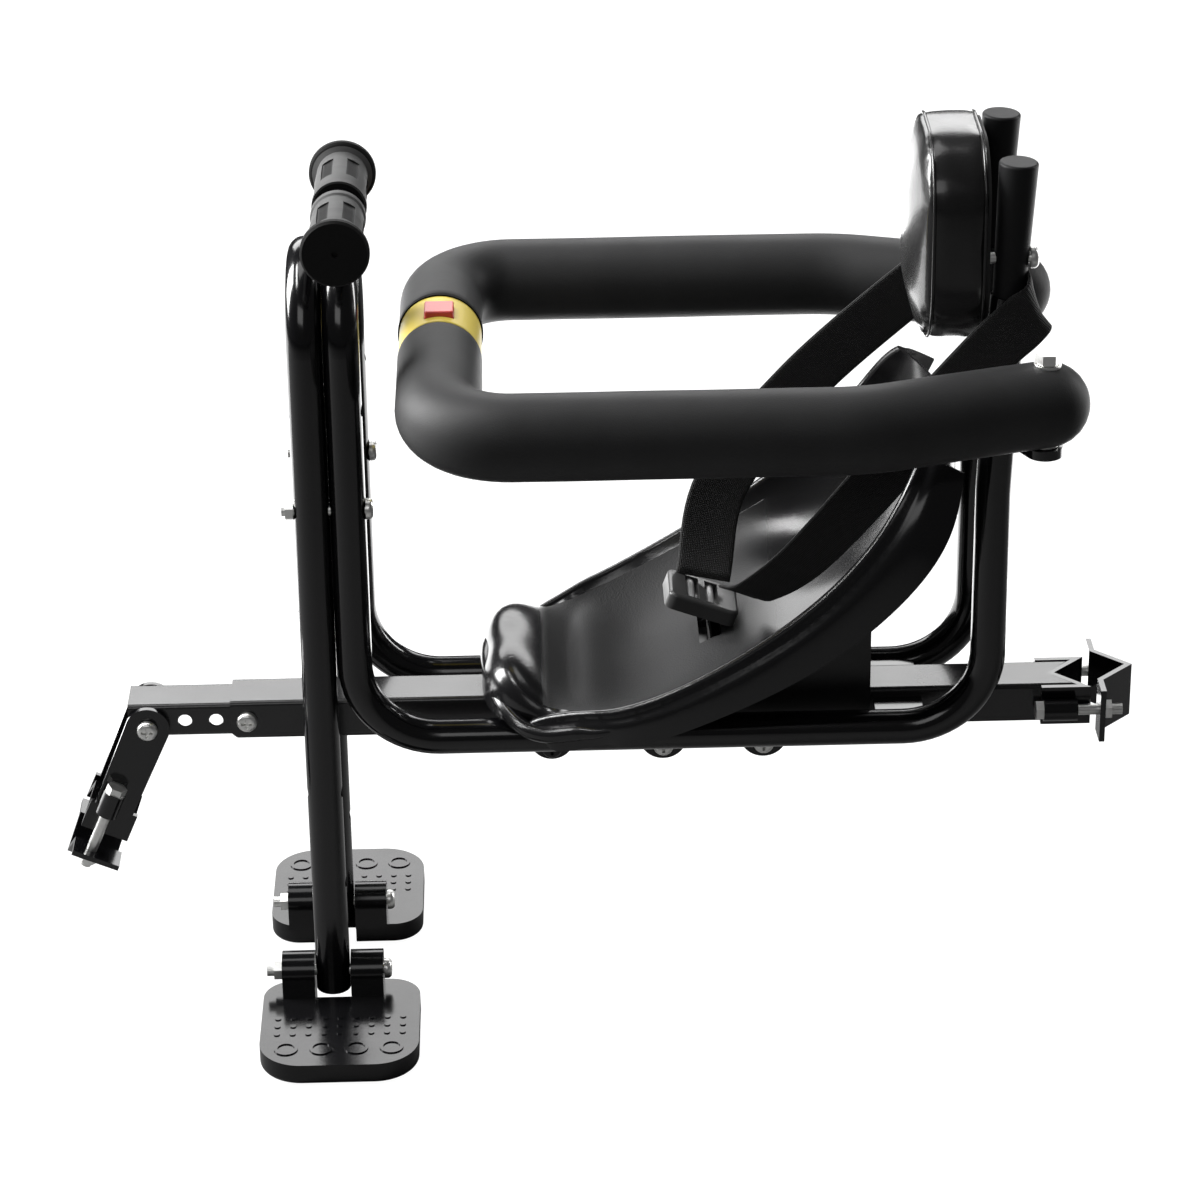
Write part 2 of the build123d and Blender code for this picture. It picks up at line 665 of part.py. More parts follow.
def latch_rod(start, end, radius):
    """Round bar on the axis of the latch between two Y places."""
    return rod((GUARD_FRONT_X, start, GUARD_Z), (GUARD_FRONT_X, end, GUARD_Z), radius)


def build_latch_tongue():
    """Steel tongue plugged into the left arm's core."""
    bore = CORE_OD / 2 - CORE_WALL
    plug = latch_rod(LATCH_START_Y - 2 * TONGUE_REACH, LATCH_START_Y, bore)
    back_end = (Align.CENTER, Align.MIN, Align.CENTER)
    blade = Box(TONGUE_WIDTH, TONGUE_REACH + 2, TONGUE_THICK, align=back_end)
    blade = fillet(blade.edges().filter_by(Axis.Z).sort_by(Axis.Y)[-2:], 3)
    blade -= Pos(0, TONGUE_REACH - 4, 0) * Box(TONGUE_WIDTH / 2, 4, 2 * TONGUE_THICK)
    blade = Pos(GUARD_FRONT_X, LATCH_START_Y - 2, GUARD_Z) * blade
    blade -= Pos(GUARD_FRONT_X, LATCH_START_Y - 3, GUARD_Z) * Box(2 * TONGUE_WIDTH, 6, 2 * TONGUE_THICK)
    return plug + blade


def build_latch_sleeve():
    """Latch housing on the right arm, with the tongue's slot and the button's well."""
    start = LATCH_START_Y + SIDE_GAP
    sleeve = latch_rod(start, LATCH_END_Y - LATCH_BAND, LATCH_RADIUS)
    sleeve = fillet(sleeve.edges().filter_by(GeomType.CIRCLE).sort_by(Axis.Y)[0], 1)
    sleeve -= latch_rod(core_start(1), LATCH_END_Y, CORE_OD / 2)
    slot = Box(TONGUE_WIDTH + 2 * TONGUE_SIDE_ROOM, 2 * (TONGUE_REACH + SIDE_GAP * 4),
               TONGUE_THICK + 2 * SIDE_GAP)
    sleeve -= Pos(GUARD_FRONT_X, LATCH_START_Y, GUARD_Z) * slot
    floor = GUARD_Z + LATCH_RADIUS - BUTTON_DEPTH - BUTTON_TRAVEL - SIDE_GAP
    well = Box(BUTTON_WIDTH + 2 * SLIDE_GAP, BUTTON_LENGTH + 2 * SLIDE_GAP, LATCH_RADIUS,
               align=(Align.CENTER, Align.CENTER, Align.MIN))
    return sleeve - Pos(GUARD_FRONT_X, BUTTON_Y, floor) * well


def build_latch_band():
    """Dark ring between the latch housing and the right arm's foam."""
    ring = latch_rod(LATCH_END_Y - LATCH_BAND, LATCH_END_Y, LATCH_RADIUS + 0.8)
    return ring - latch_rod(LATCH_END_Y - LATCH_BAND, LATCH_END_Y, CORE_OD / 2)


def build_latch_button():
    """Push button that frees the tongue."""
    height = BUTTON_DEPTH + BUTTON_PROUD
    button = Box(BUTTON_WIDTH, BUTTON_LENGTH, height, align=(Align.CENTER, Align.CENTER, Align.MIN))
    button = fillet(button.edges().filter_by(Axis.Z), 1.5)
    button = fillet(button.faces().sort_by(Axis.Z)[-1].edges(), 1)
    return Pos(GUARD_FRONT_X, BUTTON_Y, GUARD_Z + LATCH_RADIUS - BUTTON_DEPTH) * button


# Seat shell

def shell_section(station):
    """Closed section across the shell: pan, rolled rim and skirt on both sides."""
    x, z, lean, half, depth, skirt = station
    way = radians(lean)
    plane = Plane(origin=(x, 0, z), x_dir=(0, 1, 0), z_dir=(cos(way), 0, sin(way)))
    pan = [(half, 0), (0.90 * half, -0.45 * depth), (0.68 * half, -0.86 * depth), (0, -depth)]
    rim = [(half, 0), (half + 2.6, 1.9), (half + 5.8, 1.0), (half + 7.3, -0.14 * skirt),
           (half + 9.0, -0.24 * skirt), (half + 11, -0.5 * skirt), (half + 11.5, -skirt)]
    spread = max(-1, min(1, depth / (3 * SHELL_WALL)))
    inner_rim = (half + 2 * spread, -SHELL_WALL - 0.2)
    lining = [(half + 9.5, -skirt), (half + 8.2, -0.55 * skirt), (half + 5, -0.3 * skirt - 1.5), inner_rim]
    under = [inner_rim, (0.90 * half + 1.8 * spread, -0.45 * depth - SHELL_WALL + 0.4),
             (0.68 * half + spread, -0.86 * depth - SHELL_WALL), (0, -depth - SHELL_WALL)]

    def both_sides(points):
        return points[:-1] + [points[-1]] + [(-u, v) for u, v in reversed(points[:-1])]

    def other_side(points):
        return [(-u, v) for u, v in reversed(points)]

    edges = [Spline(*both_sides(pan)), Spline(*other_side(rim)),
             Line((-half - 11.5, -skirt), (-half - 9.5, -skirt)), Spline(*other_side(lining)),
             Spline(*other_side(both_sides(under))), Spline(*reversed(lining)),
             Line((half + 9.5, -skirt), (half + 11.5, -skirt)), Spline(*reversed(rim))]
    return plane * make_face(Wire(edges))


def build_bucket():
    """Moulded bucket with a raised roll at its front, still without its slot."""
    return loft([shell_section(station) for station in SHELL_STATIONS])


def underside_at(bucket, x):
    """Height of the pan's underside at a place along the beam."""
    upright = Axis((x, 0, -BEAM_HEIGHT), (0, 0, 1))
    return min(point.Z for point, normal in bucket.find_intersection_points(upright))


def build_shell(bucket):
    """Bucket with the slot for the crotch strap."""
    slot = Box(SLOT_LENGTH, SLOT_WIDTH, 20 * SHELL_WALL)
    return bucket - Pos(SLOT_X, 0, underside_at(bucket, SLOT_X)) * slot


# Seat brackets

def saddle_bracket(front, rear, lobes, lobe_radius, bucket):
    """Inverted U over the beam with a sloping web that fits under the pan."""
    inside = BEAM_WIDTH / 2 + 0.2
    outside = inside + BRACKET_WALL
    steps = 6
    places = [front + (rear - front) * index / steps for index in range(steps + 1)]
    top = [(x, underside_at(bucket, x) + SHELL_WALL / 4) for x in places]
    body = make_face(Polyline(*(top + [(rear, LOBE_Z), (front, LOBE_Z)]), close=True))
    solid = extrude(Plane.XZ * body, outside, both=True)
    for x in lobes:
        solid += rod((x, -outside, LOBE_Z), (x, outside, LOBE_Z), lobe_radius)
    ceiling = [(x, max(z - 2 * BRACKET_WALL, BEAM_HEIGHT / 2 + 0.2)) for x, z in top]
    ends = [(rear + 1, ceiling[-1][1]), (rear + 1, -60), (front - 1, -60)]
    channel = [(front - 1, ceiling[0][1])] + ceiling + ends
    solid -= extrude(Plane.XZ * make_face(Polyline(*channel, close=True)), inside, both=True)
    for x in lobes:
        solid -= rod((x, -2 * outside, BRACKET_SCREW_Z), (x, 2 * outside, BRACKET_SCREW_Z),
                     M6[0] + SCREW_PLAY)
    strap_room = Box(SLOT_LENGTH, STRAP_WIDTH + 2 * STRAP_PLAY, 4 * BRACKET_WALL)
    solid -= Pos(SLOT_X, 0, underside_at(bucket, SLOT_X)) * strap_room
    return (solid - bucket).solids().sort_by(SortBy.VOLUME)[-1]


def bracket_screws(places):
    """Screws under the beam, through both cheeks of a bracket."""
    outside = BEAM_WIDTH / 2 + 0.2 + BRACKET_WALL
    pieces = []
    for x in places:
        pieces += through_bolt((x, -outside, BRACKET_SCREW_Z), (x, outside, BRACKET_SCREW_Z), M6, 1, pan_head)
    return Compound(pieces)


# Seat post clamp

JAW_EAR_X = APEX - JAW_ARM
CLAMP_HALF = BEAM_WIDTH / 2 + 0.1
CLAMP_BOLT_Y = CLAMP_HALF + CLAMP_PLATE + SLEEVE_OD / 2 - SLEEVE_WELD


def clamp_bolt_holes():
    """Cutters for the two clamp bolts."""
    return [rod((-4 * APEX, side * CLAMP_BOLT_Y, 0), (4 * APEX, side * CLAMP_BOLT_Y, 0), M6[0] + SCREW_PLAY)
            for side in SIDES.values()]


def build_clamp_plate():
    """V plate whose wings hug the beam's end, with a bolt sleeve welded to each wing."""
    outline = winged_v(CLAMP_HALF, CLAMP_WING, CLAMP_PLATE)
    plate = Pos(-APEX, 0, 0) * extrude(outline, BEAM_HEIGHT / 2, both=True)
    for side in SIDES.values():
        y = side * CLAMP_BOLT_Y
        plate += rod((CLAMP_SLEEVE_X - CLAMP_SLEEVE_LENGTH, y, 0), (CLAMP_SLEEVE_X, y, 0), SLEEVE_OD / 2)
    for hole in clamp_bolt_holes():
        plate -= hole
    return plate


def build_clamp_jaw():
    """Loose V jaw behind the seat post."""
    jaw = extrude(v_profile(JAW_ARM, CLAMP_EAR, CLAMP_PLATE), CLAMP_HEIGHT / 2, both=True)
    jaw = Pos(APEX, 0, 0) * Rot(0, 0, 180) * jaw
    for hole in clamp_bolt_holes():
        jaw -= hole
    return jaw


def build_clamp_bolts():
    """Bolts that pull the jaw up to the seat post."""
    front = CLAMP_SLEEVE_X - CLAMP_SLEEVE_LENGTH
    rear = JAW_EAR_X + CLAMP_PLATE
    pieces = []
    for side in SIDES.values():
        y = side * CLAMP_BOLT_Y
        pieces += through_bolt((front, y, 0), (rear, y, 0), M6, 6, hex_head)
    return Compound(pieces)


# Front leg, drawn upright with its pivot at the origin and then leaned forwards

LEG_INNER = INNER_WIDTH / 2 + SIDE_GAP
LEG_OUTER = LEG_INNER + LEG_PLATE
LEG_BOLT_Y = LEG_OUTER + SLEEVE_OD / 2 - SLEEVE_WELD
LEG_APEX = LEG_EAR_DROP - LEG_OUTER
JAW_EAR_DROP = LEG_EAR_DROP + LEG_JAW_GAP


def lean_leg(shape):
    """Put a piece of the leg in its place on the beam."""
    return Pos(LEG_X, 0, LEG_Z) * Rot(0, LEG_LEAN, 0) * shape


def leg_bolt_holes():
    """Cutters for the leg's clamp bolts."""
    x = LEG_BOLT_OFFSET
    return [rod((x, side * LEG_BOLT_Y, 0), (x, side * LEG_BOLT_Y, -3 * LEG_EAR_DROP), M6[0] + SCREW_PLAY)
            for side in SIDES.values()]


def build_leg_bracket():
    """Two cheeks on the pivot with a V plate across their lower ends and a bolt sleeve on each."""
    outline = Circle(LEG_EYE) + Pos(0, 10 - LEG_EAR_DROP) * Rectangle(LEG_WIDTH, 20)
    cheek = extrude(Plane.XZ * make_hull(outline.edges()), LEG_PLATE / 2, both=True)
    cheek -= rod((0, -LEG_PLATE, 0), (0, LEG_PLATE, 0), M6[0] + RUN_GAP)
    middle = (LEG_INNER + LEG_OUTER) / 2
    plane = Plane(origin=(0, 0, -LEG_APEX), x_dir=(0, 0, -1), z_dir=(1, 0, 0))
    bracket = extrude(plane * winged_v(LEG_INNER, LEG_OUTER, LEG_PLATE), LEG_CLAMP_LENGTH / 2, both=True)
    for side in SIDES.values():
        bracket += Pos(0, side * middle, 0) * cheek
        top = Vector(LEG_BOLT_OFFSET, side * LEG_BOLT_Y, -LEG_SLEEVE_DROP)
        bracket += rod(top, top - Vector(0, 0, LEG_SLEEVE_LENGTH), SLEEVE_OD / 2)
    for hole in leg_bolt_holes():
        bracket -= hole
    return lean_leg(bracket)


def build_leg_jaw():
    """Loose V jaw under the top tube."""
    plane = Plane(origin=(0, 0, -JAW_EAR_DROP - LEG_V_ARM), x_dir=(0, 0, 1), z_dir=(-1, 0, 0))
    jaw = extrude(plane * v_profile(LEG_V_ARM, LEG_EAR, LEG_PLATE), LEG_CLAMP_LENGTH / 2, both=True)
    for hole in leg_bolt_holes():
        jaw -= hole
    return lean_leg(jaw)


def build_leg_bolts():
    """Bolts from the leg's sleeves to its jaw."""
    pieces = []
    for side in SIDES.values():
        y = side * LEG_BOLT_Y
        head = (LEG_BOLT_OFFSET, y, -LEG_SLEEVE_DROP)
        nut = (LEG_BOLT_OFFSET, y, -JAW_EAR_DROP - LEG_PLATE)
        pieces += through_bolt(head, nut, M6, 3, hex_head)
    return lean_leg(Compound(pieces))


def build_leg_pivot():
    """Screw on which the leg tilts."""
    reach = LEG_OUTER + SIDE_GAP
    return Compound(through_bolt((LEG_X, -reach, LEG_Z), (LEG_X, reach, LEG_Z), M6, 1, pan_head))


# Harness

def ribbon(points, twists):
    """Flat webbing through points, turned about its run by an angle at each."""
    centres = [Vector(*point) for point in points]
    sections = []
    for index, centre in enumerate(centres):
        ahead = centres[min(index + 1, len(centres) - 1)] - centres[max(index - 1, 0)]
        plane = Plane(origin=centre, x_dir=ahead.cross(Vector(0, 1, 0)), z_dir=ahead)
        sections.append(plane * Rot(0, 0, twists[index]) * Rectangle(STRAP_WIDTH, STRAP_THICK))
    return loft(sections, ruled=True)


def strap_loop(side):
    """Webbing round the outer and rear sides of an upright."""
    plane = upright_plane(side)
    ring = Cylinder(TUBE_R + STRAP_THICK + 0.2, STRAP_WIDTH) - Cylinder(TUBE_R + 0.2, STRAP_WIDTH)
    loop = plane * Pos(0, 0, STRAP_LOOP_Z - UPRIGHT_TOP_Z) * ring
    root = upright_point(side, STRAP_LOOP_Z)
    front = Box(4 * TUBE_OD, 4 * TUBE_OD, 3 * STRAP_WIDTH, align=(Align.MAX, Align.CENTER, Align.CENTER))
    return loop - Pos(root.X - 2, root.Y, root.Z) * front


def build_strap(side):
    """Shoulder strap from an upright down to the buckle."""
    if side < 0:
        return strap_loop(side) + ribbon(STRAP_LEFT, STRAP_LEFT_TWIST)
    return strap_loop(side) + ribbon(STRAP_RIGHT, STRAP_RIGHT_TWIST)


def build_crotch_strap(bucket):
    """Short strap from the slot in the pan up to the buckle."""
    low = underside_at(bucket, SLOT_X) - 2 * BRACKET_WALL
    high = BUCKLE_CENTRE[2] - BUCKLE_THICK / 2 - 2.6
    return ribbon([(SLOT_X, 0, low), (SLOT_X, 0, low + 12), (SLOT_X - 1, 0, high)], [90] * 3)


def place_buckle(shape):
    """Tilt and place a piece of the buckle."""
    return Pos(*BUCKLE_CENTRE) * Rot(0, BUCKLE_TILT, 0) * shape


def build_buckle():
    """Buckle frame with two windows for the webbing."""
    frame = Box(BUCKLE_LENGTH, BUCKLE_WIDTH, BUCKLE_THICK)
    frame = fillet(frame.edges().filter_by(Axis.Z), 5)
    frame = fillet(frame.faces().sort_by(Axis.Z)[-1].edges(), 2)
    for x in (-6.5, 4.5):
        frame -= Pos(x, 0, 0) * Box(7.5, BUCKLE_WIDTH - 8, 3 * BUCKLE_THICK)
    return place_buckle(frame)


def build_buckle_bars():
    """Two bars across the buckle's windows."""
    bars = []
    for x in (-6.5, 4.5):
        bar = rod((x, -BUCKLE_WIDTH / 2 + 4, 1), (x, BUCKLE_WIDTH / 2 - 4, 1), 2.4)
        bars.append(bar)
    return place_buckle(Compound(bars))


def main():
    """Build every piece and write it to its own file."""
    os.makedirs("parts", exist_ok=True)
    bucket = build_bucket()
    nose_front = NOSE_BRACKET_X - NOSE_BRACKET_LENGTH / 2
    nose_rear = NOSE_BRACKET_X + NOSE_BRACKET_LENGTH / 2
    pieces = {
        "beam_outer": build_beam(),
        "beam_inner": build_inner_beam(),
        "beam_lock_screw": build_lock_screw(),
        "frame_ties": build_frame_ties(),
        "foot_frame": build_foot_frame(),
        "column_bolts": build_column_bolts(),
        "peg_bolts": build_peg_bolts(),
        "handle_bar": build_handle_bar(),
        "pad_board": build_pad_board(),
        "head_pad": build_head_pad(),
        "pad_screws": build_pad_screws(),
        "hinge_bolts": build_hinge_bolts(),
        "latch_tongue": build_latch_tongue(),
        "latch_sleeve": build_latch_sleeve(),
        "latch_band": build_latch_band(),
        "latch_button": build_latch_button(),
        "seat_shell": build_shell(bucket),
        "seat_bracket": saddle_bracket(BRACKET_FRONT_X, BRACKET_REAR_X, BRACKET_SCREW_X, LOBE_RADIUS, bucket),
        "seat_bracket_screws": bracket_screws(BRACKET_SCREW_X),
        "nose_bracket": saddle_bracket(nose_front, nose_rear, (NOSE_BRACKET_X,), NOSE_BRACKET_LENGTH / 2,
                                       bucket),
        "nose_bracket_screw": bracket_screws((NOSE_BRACKET_X,)),
        "clamp_plate": build_clamp_plate(),
        "clamp_jaw": build_clamp_jaw(),
        "clamp_bolts": build_clamp_bolts(),
        "leg_bracket": build_leg_bracket(),
        "leg_jaw": build_leg_jaw(),
        "leg_bolts": build_leg_bolts(),
        "leg_pivot": build_leg_pivot(),
        "crotch_strap": build_crotch_strap(bucket),
        "buckle": build_buckle(),
        "buckle_bars": build_buckle_bars(),
    }
    for name, side in SIDES.items():
        pieces["frame_tube_" + name] = build_frame_tube(side)
        pieces["foot_peg_" + name] = build_peg(side)
        pieces["handle_grip_" + name] = build_grip(side)
        pieces["backrest_post_" + name] = build_post(side)
        pieces["guard_core_" + name] = build_guard_core(side)
        pieces["guard_foam_" + name] = build_guard_foam(side)
        pieces["hinge_bracket_" + name] = build_hinge_bracket(side)
        pieces["shoulder_strap_" + name] = build_strap(side)
    for name, shape in pieces.items():
        export_step(shape, f"parts/{name}.step")


main()
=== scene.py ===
"""Looks of a child's bicycle seat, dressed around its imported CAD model."""
import logging
import math
from dataclasses import dataclass, field
from enum import Enum
from typing import Callable, Iterable, Mapping, Optional, Sequence, Union

import bmesh
import bpy
from mathutils import Matrix, Vector, noise


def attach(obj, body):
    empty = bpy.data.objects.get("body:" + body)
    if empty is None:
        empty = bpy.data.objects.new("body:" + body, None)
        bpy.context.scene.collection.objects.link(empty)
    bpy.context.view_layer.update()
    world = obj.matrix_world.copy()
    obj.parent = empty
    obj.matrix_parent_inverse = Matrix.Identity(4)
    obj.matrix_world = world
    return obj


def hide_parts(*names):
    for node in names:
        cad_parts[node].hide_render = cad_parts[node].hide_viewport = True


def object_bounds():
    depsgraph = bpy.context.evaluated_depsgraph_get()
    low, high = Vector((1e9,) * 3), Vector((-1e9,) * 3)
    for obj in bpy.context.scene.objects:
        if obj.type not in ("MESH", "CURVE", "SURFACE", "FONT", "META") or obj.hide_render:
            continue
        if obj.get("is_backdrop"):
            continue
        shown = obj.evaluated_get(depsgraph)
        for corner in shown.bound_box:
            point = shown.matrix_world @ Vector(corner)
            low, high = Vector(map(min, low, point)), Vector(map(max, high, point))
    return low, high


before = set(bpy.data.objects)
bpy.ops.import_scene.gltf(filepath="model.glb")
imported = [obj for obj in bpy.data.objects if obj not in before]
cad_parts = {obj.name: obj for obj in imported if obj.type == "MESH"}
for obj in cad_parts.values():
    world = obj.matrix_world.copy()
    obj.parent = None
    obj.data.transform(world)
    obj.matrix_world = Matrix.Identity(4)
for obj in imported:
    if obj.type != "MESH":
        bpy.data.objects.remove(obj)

LOG = logging.getLogger("seat")
MM = 0.001

UP = Vector((0, 0, 1))
ACROSS = Vector((0, 1, 0))

NodeTree = bpy.types.NodeTree
Node = bpy.types.Node
Socket = bpy.types.NodeSocket
Material = bpy.types.Material
Object = bpy.types.Object
Form = bmesh.types.BMesh
Colour = tuple[float, float, float]
Place = tuple[float, float, float]
Feeds = Mapping[Union[str, int], Union[float, Sequence[float], Socket]]


class Body(str, Enum):
    """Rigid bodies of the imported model."""

    FRAME = "seat_frame"
    GUARD_LEFT = "guard_left"
    GUARD_RIGHT = "guard_right"


class Side(Enum):
    """Left is the photograph's near side."""

    LEFT = -1
    RIGHT = 1

    @property
    def word(self) -> str:
        """Name of the side in node names."""
        return self.name.lower()


def feed(tree: NodeTree, node: Node, feeds: Feeds) -> Node:
    """Feed a node's inputs.

    Args:
        tree: Tree that owns the node.
        node: Node to feed.
        feeds: For each input, by name or number, a socket to link or a value to hold.

    Returns:
        The same node.
    """
    for key, given in feeds.items():
        if isinstance(given, Socket):
            tree.links.new(given, node.inputs[key])
        else:
            node.inputs[key].default_value = given
    return node


def add_node(tree: NodeTree, kind: str, feeds: Optional[Feeds] = None, **values: object) -> Node:
    """Add a node, set its attributes and feed its inputs.

    Args:
        tree: Tree that gets the node.
        kind: Blender's node type.
        feeds: What goes into its inputs.
        **values: Attributes of the node.

    Returns:
        The new node.
    """
    node = tree.nodes.new(kind)
    for name, value in values.items():
        setattr(node, name, value)
    return feed(tree, node, feeds or {})


def calculate(tree: NodeTree, operation: str, *inputs: Union[float, Socket]) -> Socket:
    """Add a Math node.

    Args:
        tree: Tree that gets the node.
        operation: Blender's name of the operation.
        *inputs: Its inputs in order.

    Returns:
        Socket with the result.
    """
    node = add_node(tree, "ShaderNodeMath", dict(enumerate(inputs)), operation=operation)
    return node.outputs[0]


def fade(tree: NodeTree, value: Socket, start: float, end: float) -> Socket:
    """Rise smoothly from nought to one.

    Args:
        tree: Tree that gets the node.
        value: What is looked at.
        start: Value that gives nought.
        end: Value that gives one.

    Returns:
        Socket with the result.
    """
    node = add_node(tree, "ShaderNodeMapRange",
                    {"Value": value, "From Min": start, "From Max": end},
                    interpolation_type="SMOOTHSTEP")
    return node.outputs["Result"]


def object_place(tree: NodeTree) -> Socket:
    """Place on the surface in the shared frame.

    Args:
        tree: Tree that gets the node.

    Returns:
        Socket with the coordinates.
    """
    return add_node(tree, "ShaderNodeTexCoord").outputs["Object"]


class EffectGroups:
    """Shared shader effects as node groups, each made once."""

    @staticmethod
    def _open(name: str, inputs: Mapping[str, float], output: str) -> tuple[NodeTree, Node, Node]:
        """Start a group with float sockets.

        Args:
            name: Name of the group.
            inputs: Input names with their defaults.
            output: Name of the output.

        Returns:
            The tree, its input node and its output node.
        """
        tree = bpy.data.node_groups.new(name, "ShaderNodeTree")
        kind = "NodeSocketFloat"
        for label, default in inputs.items():
            socket = tree.interface.new_socket(label, in_out="INPUT", socket_type=kind)
            socket.default_value = default
        tree.interface.new_socket(output, in_out="OUTPUT", socket_type=kind)
        return tree, add_node(tree, "NodeGroupInput"), add_node(tree, "NodeGroupOutput")

    @classmethod
    def uneven(cls) -> NodeTree:
        """Soft patches around a middle value.

        Returns:
            The group.
        """
        name = "Uneven value"
        if name in bpy.data.node_groups:
            return bpy.data.node_groups[name]
        tree, given, result = cls._open(name, {"Middle": 0.3, "Spread": 0.1, "Scale": 40.0}, "Value")
        cloud = add_node(tree, "ShaderNodeTexNoise", {
            "Vector": object_place(tree), "Scale": given.outputs["Scale"], "Detail": 5.0})
        centred = calculate(tree, "SUBTRACT", cloud.outputs["Fac"], 0.5)
        feed(tree, result, {"Value": calculate(
            tree, "MULTIPLY_ADD", centred, given.outputs["Spread"], given.outputs["Middle"])})
        return tree

    @classmethod
    def grain(cls) -> NodeTree:
        """Height of a fine moulded grain over broader unevenness.

        Returns:
            The group.
        """
        name = "Moulded grain"
        if name in bpy.data.node_groups:
            return bpy.data.node_groups[name]
        tree, given, result = cls._open(
            name, {"Fine scale": 900.0, "Broad scale": 60.0, "Fine share": 0.6}, "Height")
        place = object_place(tree)
        fine = add_node(tree, "ShaderNodeTexVoronoi",
                        {"Vector": place, "Scale": given.outputs["Fine scale"]}, feature="SMOOTH_F1")
        broad = add_node(tree, "ShaderNodeTexNoise",
                         {"Vector": place, "Scale": given.outputs["Broad scale"]})
        mixed = add_node(tree, "ShaderNodeMix", {
            "Factor": given.outputs["Fine share"], "A": broad.outputs["Fac"],
            "B": fine.outputs["Distance"]})
        feed(tree, result, {"Height": mixed.outputs["Result"]})
        return tree

    @classmethod
    def weave(cls) -> NodeTree:
        """Height of a webbing's crossed yarns, from the ribbon's own UV in metres.

        Returns:
            The group.
        """
        name = "Webbing weave"
        if name in bpy.data.node_groups:
            return bpy.data.node_groups[name]
        tree, given, result = cls._open(name, {"Yarns a metre": 520.0}, "Height")
        place = add_node(tree, "ShaderNodeUVMap").outputs["UV"]
        split = add_node(tree, "ShaderNodeSeparateXYZ", {0: place}).outputs
        waves = []
        for slant in ("ADD", "SUBTRACT"):
            slanted = calculate(tree, slant, split["X"], split["Y"])
            yarns = calculate(tree, "MULTIPLY", slanted, given.outputs["Yarns a metre"])
            turn = calculate(tree, "MULTIPLY", yarns, 2 * math.pi)
            waves.append(calculate(tree, "SINE", turn))
        crossed = calculate(tree, "MULTIPLY", *waves)
        feed(tree, result, {"Height": calculate(tree, "MULTIPLY_ADD", crossed, 0.5, 0.5)})
        return tree


@dataclass(frozen=True)
class Finish:
    """A surface finish that becomes one procedural material."""

    name: str
    colour: Colour
    roughness: float = 0.3
    spread: float = 0.12
    patch_scale: float = 45.0
    metallic: float = 0.0
    coat: float = 0.0
    sheen: float = 0.0
    grain_fine: float = 900.0
    grain_broad: float = 70.0
    grain_share: float = 0.4
    bump: float = 0.05
    bump_depth: float = 0.0004
    mottle: float = 0.25
    specular: float = 0.5
    coat_roughness: float = 0.08
    colour_patch_share: float = 0.6
    colour_ramp: tuple[float, float] = (0.2, 0.8)

    def material(self) -> Material:
        """Make the material, or find it if it is made already.

        Returns:
            The material.
        """
        label = f"{self.name}_look"
        if label in bpy.data.materials:
            return bpy.data.materials[label]
        made = bpy.data.materials.new(label)
        made.use_nodes = True
        tree = made.node_tree
        bump = add_node(tree, "ShaderNodeBump", {
            "Strength": self.bump, "Distance": self.bump_depth, "Height": self.height_source(tree)})
        feed(tree, tree.nodes["Principled BSDF"], {
            "Metallic": self.metallic, "Coat Weight": self.coat,
            "Coat Roughness": self.coat_roughness, "Sheen Weight": self.sheen,
            "Specular IOR Level": self.specular, "Roughness": self.roughness_source(tree),
            "Base Color": self.colour_source(tree), "Normal": bump.outputs["Normal"]})
        return made

    def roughness_source(self, tree: NodeTree) -> Socket:
        """Patchy roughness.

        Args:
            tree: The material's tree.

        Returns:
            Output socket with the roughness.
        """
        patches = add_node(tree, "ShaderNodeGroup", {
            "Middle": self.roughness, "Spread": self.spread, "Scale": self.patch_scale},
            node_tree=EffectGroups.uneven())
        return patches.outputs["Value"]

    def colour_source(self, tree: NodeTree) -> Socket:
        """Base colour with slight light and dark patches.

        Args:
            tree: The material's tree.

        Returns:
            Output socket with the colour.
        """
        patches = add_node(tree, "ShaderNodeGroup", {
            "Middle": 0.5, "Spread": 1.0, "Scale": self.patch_scale * self.colour_patch_share},
            node_tree=EffectGroups.uneven())
        ramp = add_node(tree, "ShaderNodeValToRGB", {"Fac": patches.outputs["Value"]})
        low, high = ramp.color_ramp.elements
        low.position, high.position = self.colour_ramp
        low.color = (*[c * (1 - self.mottle) for c in self.colour], 1)
        high.color = (*[min(1.0, c * (1 + self.mottle)) for c in self.colour], 1)
        return ramp.outputs["Color"]

    def height_source(self, tree: NodeTree) -> Socket:
        """Height of the surface's grain.

        Args:
            tree: The material's tree.

        Returns:
            Output socket with the height.
        """
        grain = add_node(tree, "ShaderNodeGroup", {
            "Fine scale": self.grain_fine, "Broad scale": self.grain_broad,
            "Fine share": self.grain_share}, node_tree=EffectGroups.grain())
        return grain.outputs["Height"]


@dataclass(frozen=True)
class WebbingFinish(Finish):
    """Woven webbing that follows the ribbon's UV."""

    yarns: float = 520.0

    def height_source(self, tree: NodeTree) -> Socket:
        """Height of the crossed yarns.

        Args:
            tree: The material's tree.

        Returns:
            Output socket with the height.
        """
        weave = add_node(tree, "ShaderNodeGroup", {"Yarns a metre": self.yarns},
                         node_tree=EffectGroups.weave())
        return weave.outputs["Height"]


